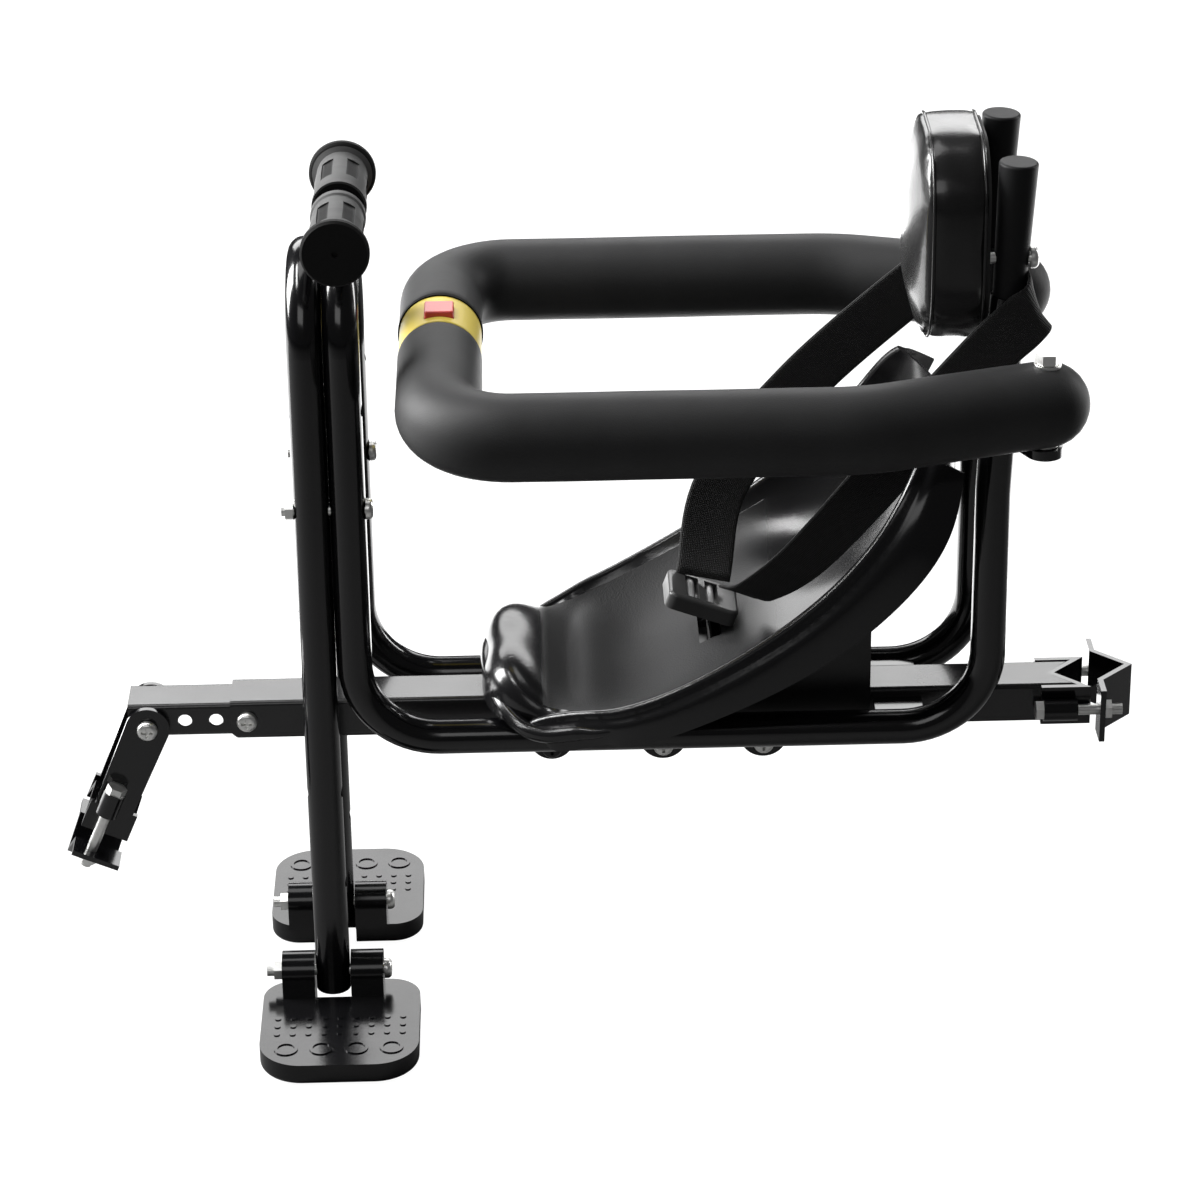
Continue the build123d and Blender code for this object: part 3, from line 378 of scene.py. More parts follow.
@dataclass(frozen=True)
class ShellFinish(Finish):
    """Gloss plastic whose sitting surface has a fine grain."""

    grained_from: float = -0.299
    blend: float = 0.003
    back_fade: tuple[float, float] = (-0.16, -0.22)
    margin: float = 0.004
    widths: tuple[tuple[float, float], ...] = (
        (-0.308, 0.060), (-0.2985, 0.0645), (-0.284, 0.0715), (-0.268, 0.080), (-0.226, 0.090),
        (-0.188, 0.092), (-0.148, 0.091), (-0.119, 0.086), (-0.101, 0.066))
    full_half: float = 0.1
    pan_roughness: float = 0.8

    def pan_mask(self, tree: NodeTree) -> Socket:
        """One on the sitting surface and nought on the rim and the front roll.

        Args:
            tree: The material's tree.

        Returns:
            Output socket with the mask.
        """
        split = add_node(tree, "ShaderNodeSeparateXYZ", {0: object_place(tree)}).outputs
        first, last = self.widths[0][0], self.widths[-1][0]
        along = add_node(tree, "ShaderNodeMapRange", {
            "Value": split["X"], "From Min": first, "From Max": last})
        curve = add_node(tree, "ShaderNodeFloatCurve", {"Value": along.outputs["Result"]})
        stops = [((x - first) / (last - first), half / self.full_half) for x, half in self.widths]
        points = curve.mapping.curves[0].points
        points[0].location, points[-1].location = stops[0], stops[-1]
        for stop in stops[1:-1]:
            points.new(*stop)
        curve.mapping.update()
        room = calculate(tree, "MULTIPLY_ADD", curve.outputs["Value"], self.full_half, -self.margin)
        inside = calculate(tree, "LESS_THAN", calculate(tree, "ABSOLUTE", split["Y"]), room)
        front = fade(tree, split["X"], self.grained_from - self.blend, self.grained_from + self.blend)
        back = fade(tree, split["X"], *self.back_fade)
        return calculate(tree, "MULTIPLY", calculate(tree, "MULTIPLY", inside, front), back)

    def roughness_source(self, tree: NodeTree) -> Socket:
        """Gloss on rim and roll, satin on the sitting surface.

        Args:
            tree: The material's tree.

        Returns:
            Output socket with the roughness.
        """
        mixed = add_node(tree, "ShaderNodeMix", {
            "Factor": self.pan_mask(tree), "A": super().roughness_source(tree),
            "B": self.pan_roughness})
        return mixed.outputs["Result"]

    def height_source(self, tree: NodeTree) -> Socket:
        """Grain on the sitting surface only.

        Args:
            tree: The material's tree.

        Returns:
            Output socket with the height.
        """
        return calculate(tree, "MULTIPLY", super().height_source(tree), self.pan_mask(tree))


@dataclass(frozen=True)
class GripFinish(Finish):
    """Rubber painted pale on the barrel, partly as a painted sheen, with painted shade in its pockets
    and the same deep colour on its closed end.
    """

    axis: tuple[float, float] = (-0.401, 0.288)
    barrel: float = 0.0133
    blend: float = 0.0003
    flange_y: float = 0.0565
    # Painted shade for the pockets, also used on the closed end.
    dark: Colour = (0.010, 0.010, 0.010)

    def colour_source(self, tree: NodeTree) -> Socket:
        """Pale, partly as a painted sheen, where the barrel stands proud of the pockets, and painted
        shade in the pockets.

        Args:
            tree: The material's tree.

        Returns:
            Output socket with the colour.
        """
        place = object_place(tree)
        kind = "ShaderNodeVectorMath"
        shifted = add_node(tree, kind, {0: place, 1: (self.axis[0], 0, self.axis[1])},
                           operation="SUBTRACT")
        flat = add_node(tree, kind, {0: shifted.outputs[0], 1: (1, 0, 1)}, operation="MULTIPLY")
        reach = add_node(tree, kind, {0: flat.outputs[0]}, operation="LENGTH")
        proud = fade(tree, reach.outputs["Value"], self.barrel - self.blend, self.barrel + self.blend)
        split = add_node(tree, "ShaderNodeSeparateXYZ", {0: place})
        outward = calculate(tree, "ABSOLUTE", split.outputs["Y"])
        inner = calculate(tree, "LESS_THAN", outward, self.flange_y)
        # Painted shade in the pockets and the same deep colour on the closed end; the pale barrel is
        # partly a painted sheen.
        mixed = add_node(tree, "ShaderNodeMix", {
            "Factor": calculate(tree, "MULTIPLY", proud, inner), "A": (*self.dark, 1),
            "B": super().colour_source(tree)}, data_type="RGBA")
        return mixed.outputs["Result"]


@dataclass(frozen=True)
class Palette:
    """All finishes of the seat."""

    paint: Finish = Finish("frame_paint", (0.0025, 0.0025, 0.003), 0.16, 0.08, 30, coat=0.2, bump=0.04,
                           grain_fine=500, grain_broad=180, grain_share=0.2)
    beam: Finish = Finish("beam_paint", (0.014, 0.014, 0.0145), 0.26, 0.1, 30, coat=0.2, bump=0.04,
                          grain_fine=600, grain_broad=160, grain_share=0.3)
    zinc: Finish = Finish("bright_zinc", (0.82, 0.82, 0.8), 0.36, 0.2, 220, metallic=1.0, bump=0.08,
                          grain_fine=1500, grain_broad=400, grain_share=0.5, mottle=0.12)
    dark_steel: Finish = Finish("dark_steel", (0.006, 0.006, 0.0065), 0.36, 0.15, 60, bump=0.08)
    shell: ShellFinish = ShellFinish("shell_plastic", (0.007, 0.007, 0.0075), 0.2, 0.06, 20, bump=0.9,
                                     grain_fine=1300, grain_broad=500, grain_share=0.6)
    foam: Finish = Finish("guard_foam", (0.026, 0.026, 0.0265), 0.55, 0.1, 60, bump=0.3,
                          bump_depth=0.0003, grain_fine=1500, grain_broad=300, grain_share=0.6,
                          mottle=0.15, specular=0.22)
    # Pale grey, partly a painted sheen on the grip's barrel.
    rubber: GripFinish = GripFinish("grip_rubber", (0.085, 0.085, 0.085), 0.6, 0.15, 90, bump=0.25,
                                    grain_fine=1600, specular=0.1)
    post: Finish = Finish("post_satin", (0.011, 0.011, 0.0115), 0.5, 0.12, 50, bump=0.2,
                          grain_fine=1400, specular=0.16)
    band: Finish = Finish("band_rubber", (0.004, 0.004, 0.004), 0.7, 0.1, 50, bump=0.2, specular=0.1)
    peg: Finish = Finish("peg_plastic", (0.004, 0.004, 0.0045), 0.16, 0.1, 50, bump=0.15,
                         grain_fine=400, grain_broad=60, grain_share=0.2, specular=0.4)
    yellow: Finish = Finish("yellow_plastic", (0.74, 0.58, 0.09), 0.45, 0.1, 60, mottle=0.05)
    red: Finish = Finish("red_plastic", (0.7, 0.07, 0.06), 0.3, 0.1, 60, mottle=0.06)
    cover: Finish = Finish("pad_cover", (0.012, 0.012, 0.012), 0.24, 0.08, 60, coat=0.15, bump=0.2,
                           bump_depth=0.0006, grain_fine=700, grain_broad=90, grain_share=0.25)
    board: Finish = Finish("pad_board", (0.012, 0.012, 0.012), 0.6, 0.1, 70, bump=0.2)
    webbing: WebbingFinish = WebbingFinish("webbing", (0.011, 0.011, 0.011), 0.7, 0.1, 80, sheen=0.1,
                                           bump=0.8, bump_depth=0.0006, specular=0.35)
    buckle: Finish = Finish("buckle_plastic", (0.05, 0.05, 0.05), 0.3, 0.14, 50, bump=0.2,
                            grain_fine=1400)
    buckle_grey: Finish = Finish("buckle_grey", (0.35, 0.35, 0.35), 0.35, 0.1, 90, bump=0.1)


PALETTE = Palette()


def place_object(name: str, data: bpy.types.ID) -> Object:
    """Put a new object into the scene.

    Args:
        name: Name of the object.
        data: Its mesh, light or camera.

    Returns:
        The object.
    """
    made = bpy.data.objects.new(name, data)
    bpy.context.scene.collection.objects.link(made)
    return made


def new_piece(name: str, fill: Callable[[Form], None], finish: Finish, body: Body) -> Object:
    """Make a smooth mesh piece that rides on a body.

    Args:
        name: Name of the piece.
        fill: Function that fills the mesh.
        finish: Surface finish.
        body: Body the piece moves with.

    Returns:
        The piece.
    """
    mesh = bpy.data.meshes.new(name)
    form = bmesh.new()
    fill(form)
    bmesh.ops.recalc_face_normals(form, faces=form.faces)
    for face in form.faces:
        face.smooth = True
    form.to_mesh(mesh)
    form.free()
    piece = place_object(name, mesh)
    mesh.materials.append(finish.material())
    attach(piece, body.value)
    return piece


def bridge(form: Form, rings: Sequence[Sequence[bmesh.types.BMVert]],
           closed: bool = False) -> list[bmesh.types.BMFace]:
    """Join rings of points with faces.

    Args:
        form: Mesh that holds the points.
        rings: Rings with equally many points.
        closed: Whether the last ring joins the first. Otherwise both ends are capped.

    Returns:
        The faces between the rings, ring by ring.
    """
    pairs = list(zip(rings, rings[1:]))
    if closed:
        pairs.append((rings[-1], rings[0]))
    faces = []
    for first, second in pairs:
        for step in range(len(first)):
            after = (step + 1) % len(first)
            faces.append(form.faces.new((first[step], first[after], second[after], second[step])))
    if not closed:
        form.faces.new(list(reversed(rings[0])))
        form.faces.new(rings[-1])
    return faces


def apply_modifiers(piece: Object) -> None:
    """Turn a piece's modifiers into its mesh.

    Args:
        piece: The object to apply.
    """
    depsgraph = bpy.context.evaluated_depsgraph_get()
    result = bpy.data.meshes.new_from_object(piece.evaluated_get(depsgraph), depsgraph=depsgraph)
    piece.modifiers.clear()
    piece.data = result


def curve_through(points: Sequence[Vector], steps: int) -> list[Vector]:
    """Smooth line through points.

    Args:
        points: Places on the line.
        steps: Samples for each stretch.

    Returns:
        Points along the line.
    """
    padded = [points[0] * 2 - points[1], *points, points[-1] * 2 - points[-2]]
    line = []
    for index in range(1, len(padded) - 2):
        before, start, end, after = padded[index - 1:index + 3]
        square = 2 * before - 5 * start + 4 * end - after
        cube = 3 * start - before - 3 * end + after
        for step in range(steps):
            t = step / steps
            line.append(0.5 * (2 * start + (end - before) * t + square * t ** 2 + cube * t ** 3))
    return [*line, points[-1].copy()]


@dataclass
class Ribbon:
    """Flat webbing along a line, with the upper half of its section as shares of its half-sizes."""

    centres: list[Vector]
    acrosses: list[Vector]
    width: float
    thickness: float
    profile: tuple[tuple[float, float], ...] = (
        (-1, 0), (-0.96, 0.9), (-0.84, 1), (-0.4, 0.85), (0, 0.8), (0.4, 0.85), (0.84, 1), (0.96, 0.9))

    def fill(self, form: Form) -> None:
        """Fill the ribbon, with a UV in metres.

        Args:
            form: Mesh that gets the ribbon.
        """
        outline = [(u * self.width / 2, v * self.thickness / 2) for u, v in self.profile]
        outline += [(-u, -v) for u, v in outline]
        layer = form.loops.layers.uv.new("UVMap")
        rings, lengths, run = [], [], 0.0
        last = len(self.centres) - 1
        for index, centre in enumerate(self.centres):
            behind = self.centres[max(index - 1, 0)]
            ahead = self.centres[min(index + 1, last)] - behind
            across = self.acrosses[index]
            across = (across - ahead * (across.dot(ahead) / ahead.length_squared)).normalized()
            up = ahead.cross(across).normalized()
            rings.append([form.verts.new(centre + across * u + up * v) for u, v in outline])
            run += (centre - behind).length
            lengths.append(run)
        for number, face in enumerate(bridge(form, rings)):
            index, step = divmod(number, len(outline))
            near, far = outline[step][0], outline[(step + 1) % len(outline)][0]
            start, end = lengths[index], lengths[index + 1]
            for loop, mark in zip(face.loops, ((near, start), (far, start), (far, end), (near, end))):
                loop[layer].uv = mark


@dataclass
class TubeForm:
    """Round tube along a line that is nowhere upright."""

    centres: list[Vector]
    radius: Callable[[int, float], float]
    segments: int = 40

    def fill(self, form: Form) -> None:
        """Fill the tube, closed at both ends.

        Args:
            form: Mesh that gets the tube.
        """
        rings = []
        last = len(self.centres) - 1
        for index, centre in enumerate(self.centres):
            behind = self.centres[max(index - 1, 0)]
            ahead = (self.centres[min(index + 1, last)] - behind).normalized()
            side = ahead.cross(UP).normalized()
            lift = side.cross(ahead)
            ring = []
            for step in range(self.segments):
                angle = 2 * math.pi * step / self.segments
                around = side * math.cos(angle) + lift * math.sin(angle)
                ring.append(form.verts.new(centre + around * self.radius(index, angle)))
            rings.append(ring)
        bridge(form, rings)


@dataclass
class Guard:
    """Foam sleeves of the guard ring, each with a trimmed latch end and a domed hinge end."""

    level: float = 0.206
    front: float = -0.351
    half: float = 0.109
    corner: float = 0.038
    bend_x: float = -0.135
    rear_bend: float = 0.100
    hinge: tuple[float, float] = (-0.041, 0.080)
    radius: float = 0.0225
    clearance: float = 0.0001
    run_step: float = 0.006
    bend_step: float = 0.004
    trim_places: tuple[float, float] = (0.02, 0.25)
    trims: tuple[float, ...] = (0.0022, 0.0008, 0.0)
    dome: tuple[float, ...] = (12, 25, 38, 50, 62, 73, 82, 87)
    wave_scale: float = 22.0
    wave_turn: float = 0.8
    wave_share: float = 0.008
    starts: dict[Side, float] = field(default_factory=lambda: {Side.LEFT: -0.005, Side.RIGHT: 0.034})
    bodies: dict[Side, Body] = field(default_factory=lambda: {
        Side.LEFT: Body.GUARD_LEFT, Side.RIGHT: Body.GUARD_RIGHT})

    def line(self, side: Side) -> list[Vector]:
        """Centre line of one sleeve, from the latch to the hinge.

        Args:
            side: Which arm.

        Returns:
            Points about 5 mm apart.
        """
        sign = side.value
        corners = [Vector((x, y, self.level)) for x, y in (
            (self.front, self.starts[side]), (self.front, sign * self.half),
            (self.bend_x, sign * self.half), (self.hinge[0], sign * self.hinge[1]))]
        line = [corners[0]]
        for index, radius in ((1, self.corner), (2, self.rear_bend)):
            back = (corners[index - 1] - corners[index]).normalized()
            ahead = (corners[index + 1] - corners[index]).normalized()
            half = back.angle(ahead) / 2
            start = corners[index] + back * (radius / math.tan(half))
            end = corners[index] + ahead * (radius / math.tan(half))
            middle = corners[index] + (back + ahead).normalized() * (radius / math.sin(half))
            self.add_run(line, start)
            turn = math.pi - 2 * half
            steps = max(4, int(turn * radius / self.bend_step))
            axis = (start - middle).cross(end - middle).normalized()
            for step in range(1, steps + 1):
                line.append(middle + Matrix.Rotation(turn * step / steps, 3, axis) @ (start - middle))
        self.add_run(line, corners[-1])
        return line

    def add_run(self, line: list[Vector], end: Vector) -> None:
        """Add a straight run to a line.

        Args:
            line: Line that grows.
            end: Where the run ends.
        """
        start = line[-1]
        steps = max(2, int((end - start).length / self.run_step))
        line.extend(start.lerp(end, step / steps) for step in range(1, steps + 1))

    def sleeve_line(self, side: Side) -> list[Vector]:
        """Centre line with close points at the latch and the dome at the hinge.

        Args:
            side: Which arm.

        Returns:
            Points along the sleeve.
        """
        line = self.line(side)
        line[1:1] = [line[0].lerp(line[1], share) for share in self.trim_places]
        away = (line[-1] - line[-2]).normalized()
        rises = [self.radius * math.sin(math.radians(angle)) for angle in self.dome]
        return line + [line[-1] + away * rise for rise in rises]

    def reach(self, line: list[Vector], index: int, angle: float) -> float:
        """Radius of a sleeve, slightly uneven.

        Args:
            line: The sleeve's whole line.
            index: Place along the line.
            angle: Place round the sleeve.

        Returns:
            The radius.
        """
        base = self.radius
        if index < len(self.trims):
            base -= self.trims[index]
        on_dome = index - (len(line) - len(self.dome))
        if on_dome >= 0:
            base = self.radius * math.cos(math.radians(self.dome[on_dome]))
        turn = Vector((math.cos(angle), math.sin(angle), 0)) * self.wave_turn
        wave = noise.noise(line[index] * self.wave_scale + turn)
        return base * (1 + self.wave_share * wave) - self.clearance

    def build(self) -> list[Object]:
        """Make both sleeves and hide the plain ones.

        Returns:
            The sleeves.
        """
        sleeves = []
        for side, body in self.bodies.items():
            line = self.sleeve_line(side)
            tube = TubeForm(line, lambda index, angle: self.reach(line, index, angle))
            sleeve = new_piece(f"foam_sleeve_{side.word}", tube.fill, PALETTE.foam, body)
            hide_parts(f"guard_foam_{side.word}")
            sleeves.append(sleeve)
        return sleeves


@dataclass
class ShellRim:
    """Rolled edge of the shell's front, from the skirts round the toe.

    A station is a section's x, z, lean in degrees, half-width and skirt, with lengths in millimetres.
    """

    stations: tuple[tuple[float, float, float, float, float], ...] = (
        (-226, 54.5, 28, 90, 20), (-268, 35.5, 22, 80, 17), (-284, 30.6, 13, 71.5, 16.5),
        (-298.5, 25, 8, 64.5, 14.5))
    toe: tuple[Place, ...] = (
        (-308, 66, 17), (-315, 57, 18), (-321.5, 46, 21.5), (-326.5, 30, 26), (-329, 14, 29),
        (-329.6, 0, 30))
    outward: float = 8.6
    drop: float = 0.5
    radius: float = 0.0044
    tip: float = 0.2
    steps: int = 8
    taper: int = 16
    segments: int = 20

    def half_line(self) -> list[Vector]:
        """Route of one side in millimetres, from the skirt to the toe's middle.

        Returns:
            Points on the positive side.
        """
        points = []
        for x, z, lean, half, skirt in self.stations:
            way, low = math.radians(lean), self.drop * skirt
            points.append(Vector((x + low * math.sin(way), half + self.outward,
                                  z - low * math.cos(way))))
        return points + [Vector(place) for place in self.toe]

    def reach(self, index: int, last: int) -> float:
        """Radius of the edge, which runs out at both ends.

        Args:
            index: Place along the line.
            last: Last place of the line.

        Returns:
            The radius.
        """
        return self.radius * min(1.0, (self.tip + min(index, last - index)) / self.taper)

    def build(self) -> list[Object]:
        """Make the rolled edge.

        Returns:
            The edge alone.
        """
        half = self.half_line()
        other = [Vector((point.x, -point.y, point.z)) for point in reversed(half[:-1])]
        line = curve_through([point * MM for point in half + other], self.steps)
        tube = TubeForm(line, lambda index, _: self.reach(index, len(line) - 1), self.segments)
        return [new_piece("shell_rim", tube.fill, PALETTE.shell, Body.FRAME)]


@dataclass
class HeadPad:
    """Stuffed head pad with a gusset, two piped seams and a crowned front."""

    rear: float = -0.0676
    gusset: float = 0.0312
    crown: float = 0.0092
    swell: float = 0.0014
    half: float = 0.050
    low: float = 0.217
    high: float = 0.333
    corner: float = 0.038
    cord: float = 0.0009
    cord_inset: float = 0.0029
    cord_points: int = 120
    cord_sides: int = 8
    back_inset: float = 0.016
    rim_inset: float = 0.003
    gusset_inset: float = 0.002
    bevel: float = 0.002
    crown_insets: tuple[float, ...] = (0.010, 0.018, 0.027, 0.034)
    rear_seam: float = 0.003
    front_seam: float = 0.002
    seam_pull: float = 0.0007
    seam_reach: float = 0.0035
    core: float = 0.02
    crease_depth: float = 0.0010
    crease_scale: tuple[float, float, float, float] = (60, 45, 35, 12)
    voxel: float = 0.003
    pressure: float = 4.0
    frames: int = 20

    @property
    def front(self) -> float:
        """Where the gusset ends and the crown begins."""
        return self.rear - self.gusset

    @property
    def middle(self) -> float:
        """Height of the pad's middle."""
        return (self.high + self.low) / 2

    @property
    def seams(self) -> dict[str, float]:
        """Place of each seam along X."""
        return {"rear": self.rear - self.rear_seam, "front": self.front + self.front_seam}

    def outline(self, inset: float, count: int = 96) -> list[tuple[float, float]]:
        """Rounded outline across X.

        Args:
            inset: How far it is pulled in.
            count: Number of points.

        Returns:
            Points as (y, z).
        """
        half_y = self.half - inset
        half_z = (self.high - self.low) / 2 - inset
        corner = self.corner - inset
        points = []
        for index in range(count):
            angle = 2 * math.pi * (index + 0.5) / count
            quarter = int(angle // (math.pi / 2))
            sign_y = 1 if quarter in (0, 3) else -1
            sign_z = 1 if quarter in (0, 1) else -1
            points.append((sign_y * (half_y - corner) + corner * math.cos(angle),
                           self.middle + sign_z * (half_z - corner) + corner * math.sin(angle)))
        return points

    def shell(self, form: Form) -> None:
        """Fill a closed pad, a little smaller than it ends up.

        Args:
            form: Mesh that gets the pad.
        """
        rows = [(self.rear, self.back_inset), (self.rear, self.rim_inset),
                (self.rear - self.bevel, self.gusset_inset),
                (self.front + self.bevel, self.gusset_inset), (self.front, self.rim_inset)]
        rim = self.half - self.rim_inset
        rows += [(self.front - self.crown * (1 - ((self.half - inset) / rim) ** 2), inset)
                 for inset in self.crown_insets]
        bridge(form, [[form.verts.new((x, y, z)) for y, z in self.outline(inset)]
                      for x, inset in rows])

    def inflate(self, pad: Object) -> None:
        """Swell the pad as stuffed fabric and keep each point near its start.

        Args:
            pad: The pad's object.
        """
        remesh = pad.modifiers.new("even", "REMESH")
        remesh.mode = "VOXEL"
        remesh.voxel_size = self.voxel
        apply_modifiers(pad)
        before = [vertex.co.copy() for vertex in pad.data.vertices]
        cloth = pad.modifiers.new("cloth", "CLOTH")
        cloth.settings.use_pressure = True
        cloth.settings.uniform_pressure_force = self.pressure
        cloth.settings.effector_weights.gravity = 0.0
        cloth.point_cache.frame_start = 1
        cloth.point_cache.frame_end = self.frames
        for number in range(1, self.frames + 1):
            bpy.context.scene.frame_set(number)
        apply_modifiers(pad)
        bpy.context.scene.frame_set(1)
        for vertex, start in zip(pad.data.vertices, before):
            move = vertex.co - start
            if move.length > self.swell:
                vertex.co = start + move.normalized() * self.swell
        self.tuck(pad)
        smooth = pad.modifiers.new("finer", "SUBSURF")
        smooth.levels = smooth.render_levels = 1
        apply_modifiers(pad)
        for face in pad.data.polygons:
            face.use_smooth = True

    def tuck(self, pad: Object) -> None:
        """Pull the cover in at its seams, crease its sides and flatten its back.

        Args:
            pad: The pad's object.
        """
        along, rise, height, width = self.crease_scale
        for vertex in pad.data.vertices:
            place = vertex.co
            outward = Vector((0, place.y, place.z - self.middle))
            if outward.length < self.core:
                place.x = min(place.x, self.rear)
                continue
            outward.normalize()
            seam = min(abs(place.x - x) for x in self.seams.values())
            pull = self.seam_pull * math.exp(-(seam / self.seam_reach) ** 2)
            if self.front < place.x < self.rear:
                crease = noise.noise(Vector((place.x * along + place.z * rise, place.z * height,
                                             place.y * width)))
                pull += self.crease_depth * max(0.0, crease)
            place -= outward * pull
            place.x = min(place.x, self.rear)

    def piping(self, form: Form, seam: float) -> None:
        """Fill round piping along a seam.

        Args:
            form: Mesh that gets the piping.
            seam: Place of the seam along X.
        """
        middle = Vector((seam, 0, self.middle))
        rings = []
        for y, z in self.outline(self.cord_inset, self.cord_points):
            point = Vector((seam, y, z))
            outward = (point - middle).normalized()
            ring = []
            for step in range(self.cord_sides):
                angle = 2 * math.pi * step / self.cord_sides
                along = Vector((self.cord * math.sin(angle), 0, 0))
                ring.append(form.verts.new(point + outward * (self.cord * math.cos(angle)) + along))
            rings.append(ring)
        bridge(form, rings, closed=True)

    def build(self) -> list[Object]:
        """Make the pad with its piping and hide the plain one.

        Returns:
            The pad and its two lengths of piping.
        """
        pad = new_piece("stuffed_pad", self.shell, PALETTE.cover, Body.FRAME)
        self.inflate(pad)
        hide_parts("head_pad")
        cords = [new_piece(f"pad_piping_{end}", lambda form, seam=seam: self.piping(form, seam),
                           PALETTE.cover, Body.FRAME)
                 for end, seam in self.seams.items()]
        return [pad, *cords]


@dataclass(frozen=True)
class StrapRoute:
    """Given route of one shoulder strap, in millimetres."""

    turn_places: tuple[Place, ...]
    turn_across: Place
    places: tuple[Place, ...]
    twists: tuple[float, ...]


ROUTES: dict[Side, StrapRoute] = {
    Side.LEFT: StrapRoute(
        ((-50, -27.5, 251), (-45.6, -33, 250), (-43.2, -40, 248), (-44, -46.2, 245)), (-0.3, 0, 0.95),
        ((-51, -49, 237.8), (-66, -52, 224.7), (-98, -50, 186), (-125, -44, 146), (-160, -33, 99),
         (-184, -21, 75), (-194, -11, 70)),
        (0, 0, 0, 5, 15, 30, 40)),
    Side.RIGHT: StrapRoute(
        ((-50, 27.5, 256), (-45.6, 33, 256), (-43.2, 40, 255.5), (-44, 46.2, 254)), (-0.3, 0, 0.95),
        ((-51, 49, 252), (-66, 52.3, 242.5), (-104, 52.3, 213.5), (-159, 44, 166), (-201, 29, 116),
         (-212, 10, 68.8)),
        (0, 0, 0, 0, -5, -15)),
}


@dataclass
class Harness:
    """Shoulder straps and crotch strap."""

    width: float = 0.030
    thickness: float = 0.0018
    steps: int = 10
    end_margin: float = 0.0001
    crotch_places: tuple[Place, ...] = ((-0.209, 0, 0.034), (-0.209, 0, 0.046), (-0.2105, 0, 0.0545))
    crotch_steps: int = 6

    def webbing(self, name: str, node: str, line: list[Vector], acrosses: list[Vector]) -> Object:
        """Make one strap and hide the plain one.

        Args:
            name: Name of the piece.
            node: Node that it stands for.
            line: Its centre line.
            acrosses: The way its width points at each place.

        Returns:
            The strap.
        """
        ribbon = Ribbon(line, acrosses, self.width, self.thickness)
        strap = new_piece(name, ribbon.fill, PALETTE.webbing, Body.FRAME)
        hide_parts(node)
        return strap

    def shoulder(self, side: Side) -> Object:
        """Shoulder strap of one side, from its turn round an upright to the buckle.

        Args:
            side: Which strap.

        Returns:
            The strap.
        """
        route = ROUTES[side]
        corners = [Vector(place) * MM for place in (*route.turn_places, *route.places)]
        last = len(corners) - 1
        widths = [Vector(route.turn_across) for _ in route.turn_places]
        for index, twist in enumerate(route.twists, len(widths)):
            ahead = corners[min(index + 1, last)] - corners[index - 1]
            flat = ahead.cross(ACROSS).normalized()
            sense = 1 if flat.z > 0 else -1
            turn = Matrix.Rotation(math.radians(twist * sense), 3, ahead.normalized())
            widths.append(turn @ (flat * sense))
        line = curve_through(corners, self.steps)
        acrosses = []
        for index in range(len(line)):
            stretch = min(index / self.steps, last - self.end_margin)
            low = int(stretch)
            acrosses.append(widths[low].lerp(widths[low + 1], stretch - low))
        return self.webbing(f"strap_{side.word}", f"shoulder_strap_{side.word}", line, acrosses)

    def crotch(self) -> Object:
        """Short strap from the pan's slot to the buckle.

        Returns:
            The strap.
        """
        line = curve_through([Vector(place) for place in self.crotch_places], self.crotch_steps)
        return self.webbing("strap_crotch", "crotch_strap", line, [ACROSS] * len(line))

    def build(self) -> list[Object]:
        """Make all the webbing.

        Returns:
            The straps.
        """
        return [*(self.shoulder(side) for side in Side), self.crotch()]


@dataclass
class Hardware:
    """Rigid CAD nodes that keep their shape and get a finish."""

    finishes: dict[Finish, tuple[str, ...]] = field(default_factory=lambda: {
        PALETTE.paint: ("frame_ties", "frame_tube_left", "frame_tube_right", "foot_frame",
                        "handle_bar", "hinge_bracket_left", "hinge_bracket_right", "clamp_plate",
                        "clamp_jaw", "leg_bracket", "leg_jaw"),
        PALETTE.beam: ("beam_outer", "beam_inner"),
        PALETTE.zinc: ("beam_lock_screw", "column_bolts", "peg_bolts", "pad_screws", "hinge_bolts",
                       "seat_bracket_screws", "clamp_bolts", "leg_pivot", "leg_bolts",
                       "guard_core_left", "guard_core_right", "latch_tongue"),
        PALETTE.dark_steel: ("seat_bracket", "nose_bracket", "nose_bracket_screw"),
        PALETTE.shell: ("seat_shell",),
        PALETTE.rubber: ("handle_grip_left", "handle_grip_right"),
        PALETTE.post: ("backrest_post_left", "backrest_post_right"),
        PALETTE.band: ("latch_band",),
        PALETTE.buckle: ("buckle",),
        PALETTE.peg: ("foot_peg_left", "foot_peg_right"),
        PALETTE.yellow: ("latch_sleeve",),
        PALETTE.red: ("latch_button",),
        PALETTE.board: ("pad_board",),
        PALETTE.buckle_grey: ("buckle_bars",),
    })

    def build(self) -> list[Object]:
        """Give every kept node its material.

        Returns:
            The nodes.
        """
        dressed = []
        for finish, nodes in self.finishes.items():
            for node in nodes:
                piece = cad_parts[node]
                for slot in piece.material_slots:
                    slot.material = finish.material()
                dressed.append(piece)
        return dressed


@dataclass
class SoftBox:
    """One rectangular studio light."""

    name: str
    place: Place
    size: tuple[float, float]
    power: float
    aim: Place = (-0.27, 0.0, 0.1)

    def build(self) -> None:
        """Put the light in the scene, unseen by the camera."""
        light = bpy.data.lights.new(self.name, "AREA")
        light.shape = "RECTANGLE"
        light.size, light.size_y = self.size
        light.energy = self.power
        lamp = place_object(self.name, light)
        lamp.location = self.place
        way = Vector(self.aim) - Vector(self.place)
        lamp.rotation_euler = way.to_track_quat("-Z", "Y").to_euler()
        lamp.visible_camera = False


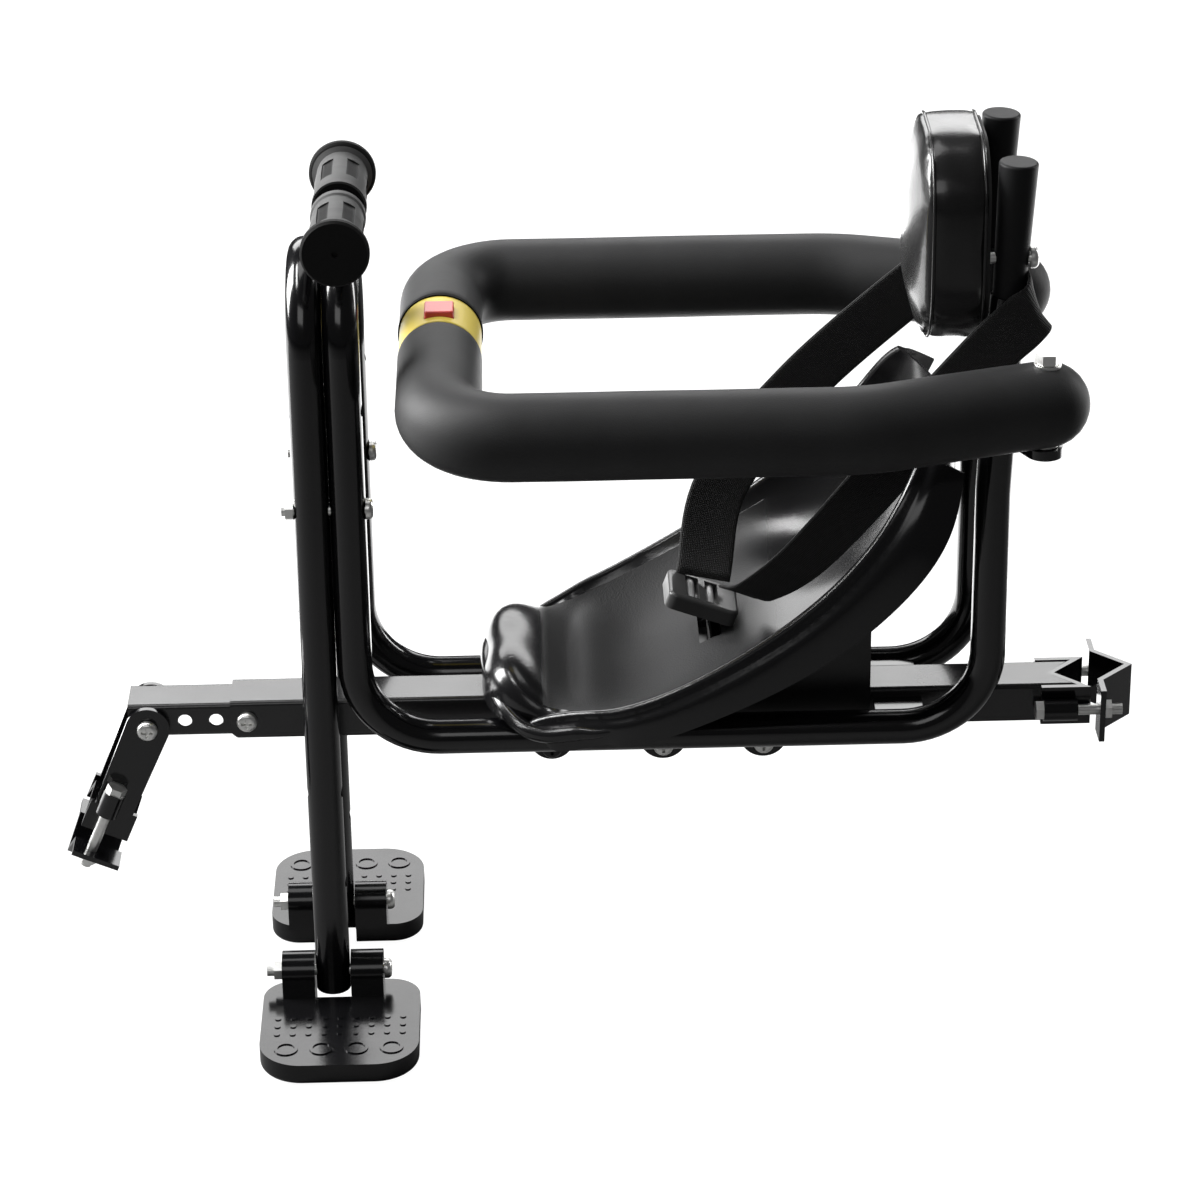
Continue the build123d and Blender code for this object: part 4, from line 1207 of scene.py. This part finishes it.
@dataclass
class Studio:
    """White studio with the photograph's camera."""

    target: Place = (-0.26833, 0.0, 0.06145)
    elevation: float = 25.94
    azimuth: float = 1.12
    roll: float = -0.75
    distance: float = 2.153
    focal_px: float = 3964.0
    image_px: float = 1200.0
    sensor: float = 36.0
    sky: Colour = (0.9, 0.9, 0.92)
    sky_strength: float = 0.07
    floor_gap: float = 0.0005
    floor_half: float = 6.0
    floor_grey: float = 0.16
    floor_white: float = 0.975
    boxes: tuple[SoftBox, ...] = (
        SoftBox("top_box", (-0.5, 0.4, 2.0), (1.2, 0.8), 8.0),
        SoftBox("back_box", (-0.3, 2.4, 1.3), (2.8, 0.9), 36.0),
        SoftBox("left_box", (-2.1, 0.6, 1.0), (0.9, 1.4), 125.0),
        SoftBox("left_strip", (-1.15, 0.1, 1.67), (0.9, 0.2), 14.0),
        SoftBox("right_strip", (1.6, 0.9, 0.7), (0.25, 1.6), 20.0),
        SoftBox("front_box", (-0.9, -2.0, 1.6), (1.4, 0.9), 7.0),
        SoftBox("floor_glow", (-0.35, 1.3, -0.165), (3.4, 2.0), 66.0, (-0.35, 1.3, 1.0)),
    )

    def camera(self) -> None:
        """Put the camera where the photograph was taken from."""
        lift, turn, tilt = (math.radians(a) for a in (self.elevation, self.azimuth, self.roll))
        back = Vector((-math.sin(turn) * math.cos(lift), -math.cos(turn) * math.cos(lift),
                       math.sin(lift)))
        right = (-back).cross(UP).normalized()
        up = right.cross(-back)
        side = right * math.cos(tilt) + up * math.sin(tilt)
        top = up * math.cos(tilt) - right * math.sin(tilt)
        view = bpy.data.cameras.new("camera")
        view.sensor_width = self.sensor
        view.sensor_fit = "HORIZONTAL"
        view.lens = self.focal_px / self.image_px * self.sensor
        eye = place_object("camera", view)
        place = Vector(self.target) + back * self.distance
        eye.matrix_world = Matrix((
            (side.x, top.x, back.x, place.x),
            (side.y, top.y, back.y, place.y),
            (side.z, top.z, back.z, place.z),
            (0, 0, 0, 1)))
        bpy.context.scene.camera = eye

    @staticmethod
    def split_rays(tree: NodeTree, seen: Node, unseen: Node, output: str) -> None:
        """End a tree with one shader for the camera and another for all other rays.

        Args:
            tree: The tree to end.
            seen: Shader for the camera.
            unseen: Shader for all other rays.
            output: Type of the output node.
        """
        rays = add_node(tree, "ShaderNodeLightPath")
        mixed = add_node(tree, "ShaderNodeMixShader", {
            "Fac": rays.outputs["Is Camera Ray"], 1: unseen.outputs[0], 2: seen.outputs[0]})
        add_node(tree, output, {"Surface": mixed.outputs[0]})

    def surroundings(self) -> None:
        """White for the camera, a softer grey sky for everything else."""
        world = bpy.data.worlds.new("studio")
        world.use_nodes = True
        tree = world.node_tree
        tree.nodes.clear()
        white = add_node(tree, "ShaderNodeBackground", {"Color": (1, 1, 1, 1)})
        soft = add_node(tree, "ShaderNodeBackground", {
            "Color": (*self.sky, 1), "Strength": self.sky_strength})
        self.split_rays(tree, white, soft, "ShaderNodeOutputWorld")
        bpy.context.scene.world = world

    def floor(self) -> None:
        """Grey floor that the camera sees as white with a faint shadow."""
        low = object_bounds()[0][2] - self.floor_gap
        signs = ((-1, -1), (1, -1), (1, 1), (-1, 1))
        corners = [(x * self.floor_half, y * self.floor_half, low) for x, y in signs]
        mesh = bpy.data.meshes.new("floor")
        mesh.from_pydata(corners, [], [(0, 1, 2, 3)])
        plane = place_object("floor", mesh)
        made = bpy.data.materials.new("pale_floor")
        made.use_nodes = True
        tree = made.node_tree
        tree.nodes.clear()
        cloth = add_node(tree, "ShaderNodeBsdfDiffuse", {"Color": (*[self.floor_grey] * 3, 1)})
        glow = add_node(tree, "ShaderNodeEmission", {"Strength": self.floor_white})
        shaded = add_node(tree, "ShaderNodeAddShader", {0: glow.outputs[0], 1: cloth.outputs[0]})
        self.split_rays(tree, shaded, cloth, "ShaderNodeOutputMaterial")
        mesh.materials.append(made)
        plane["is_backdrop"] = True

    def build(self) -> None:
        """Set up camera, light, background and floor."""
        self.camera()
        self.surroundings()
        self.floor()
        for box in self.boxes:
            box.build()
        bpy.context.scene.view_settings.view_transform = "Standard"


def main() -> None:
    """Dress the seat, light it and log each piece it makes."""
    logging.basicConfig(level=logging.INFO, format="%(name)s: %(message)s")
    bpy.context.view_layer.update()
    Studio().build()
    for assembly in (Hardware(), Guard(), ShellRim(), HeadPad(), Harness()):
        for piece in assembly.build():
            LOG.info("%s: %s", type(assembly).__name__, piece.name)


if __name__ == "__main__":
    main()
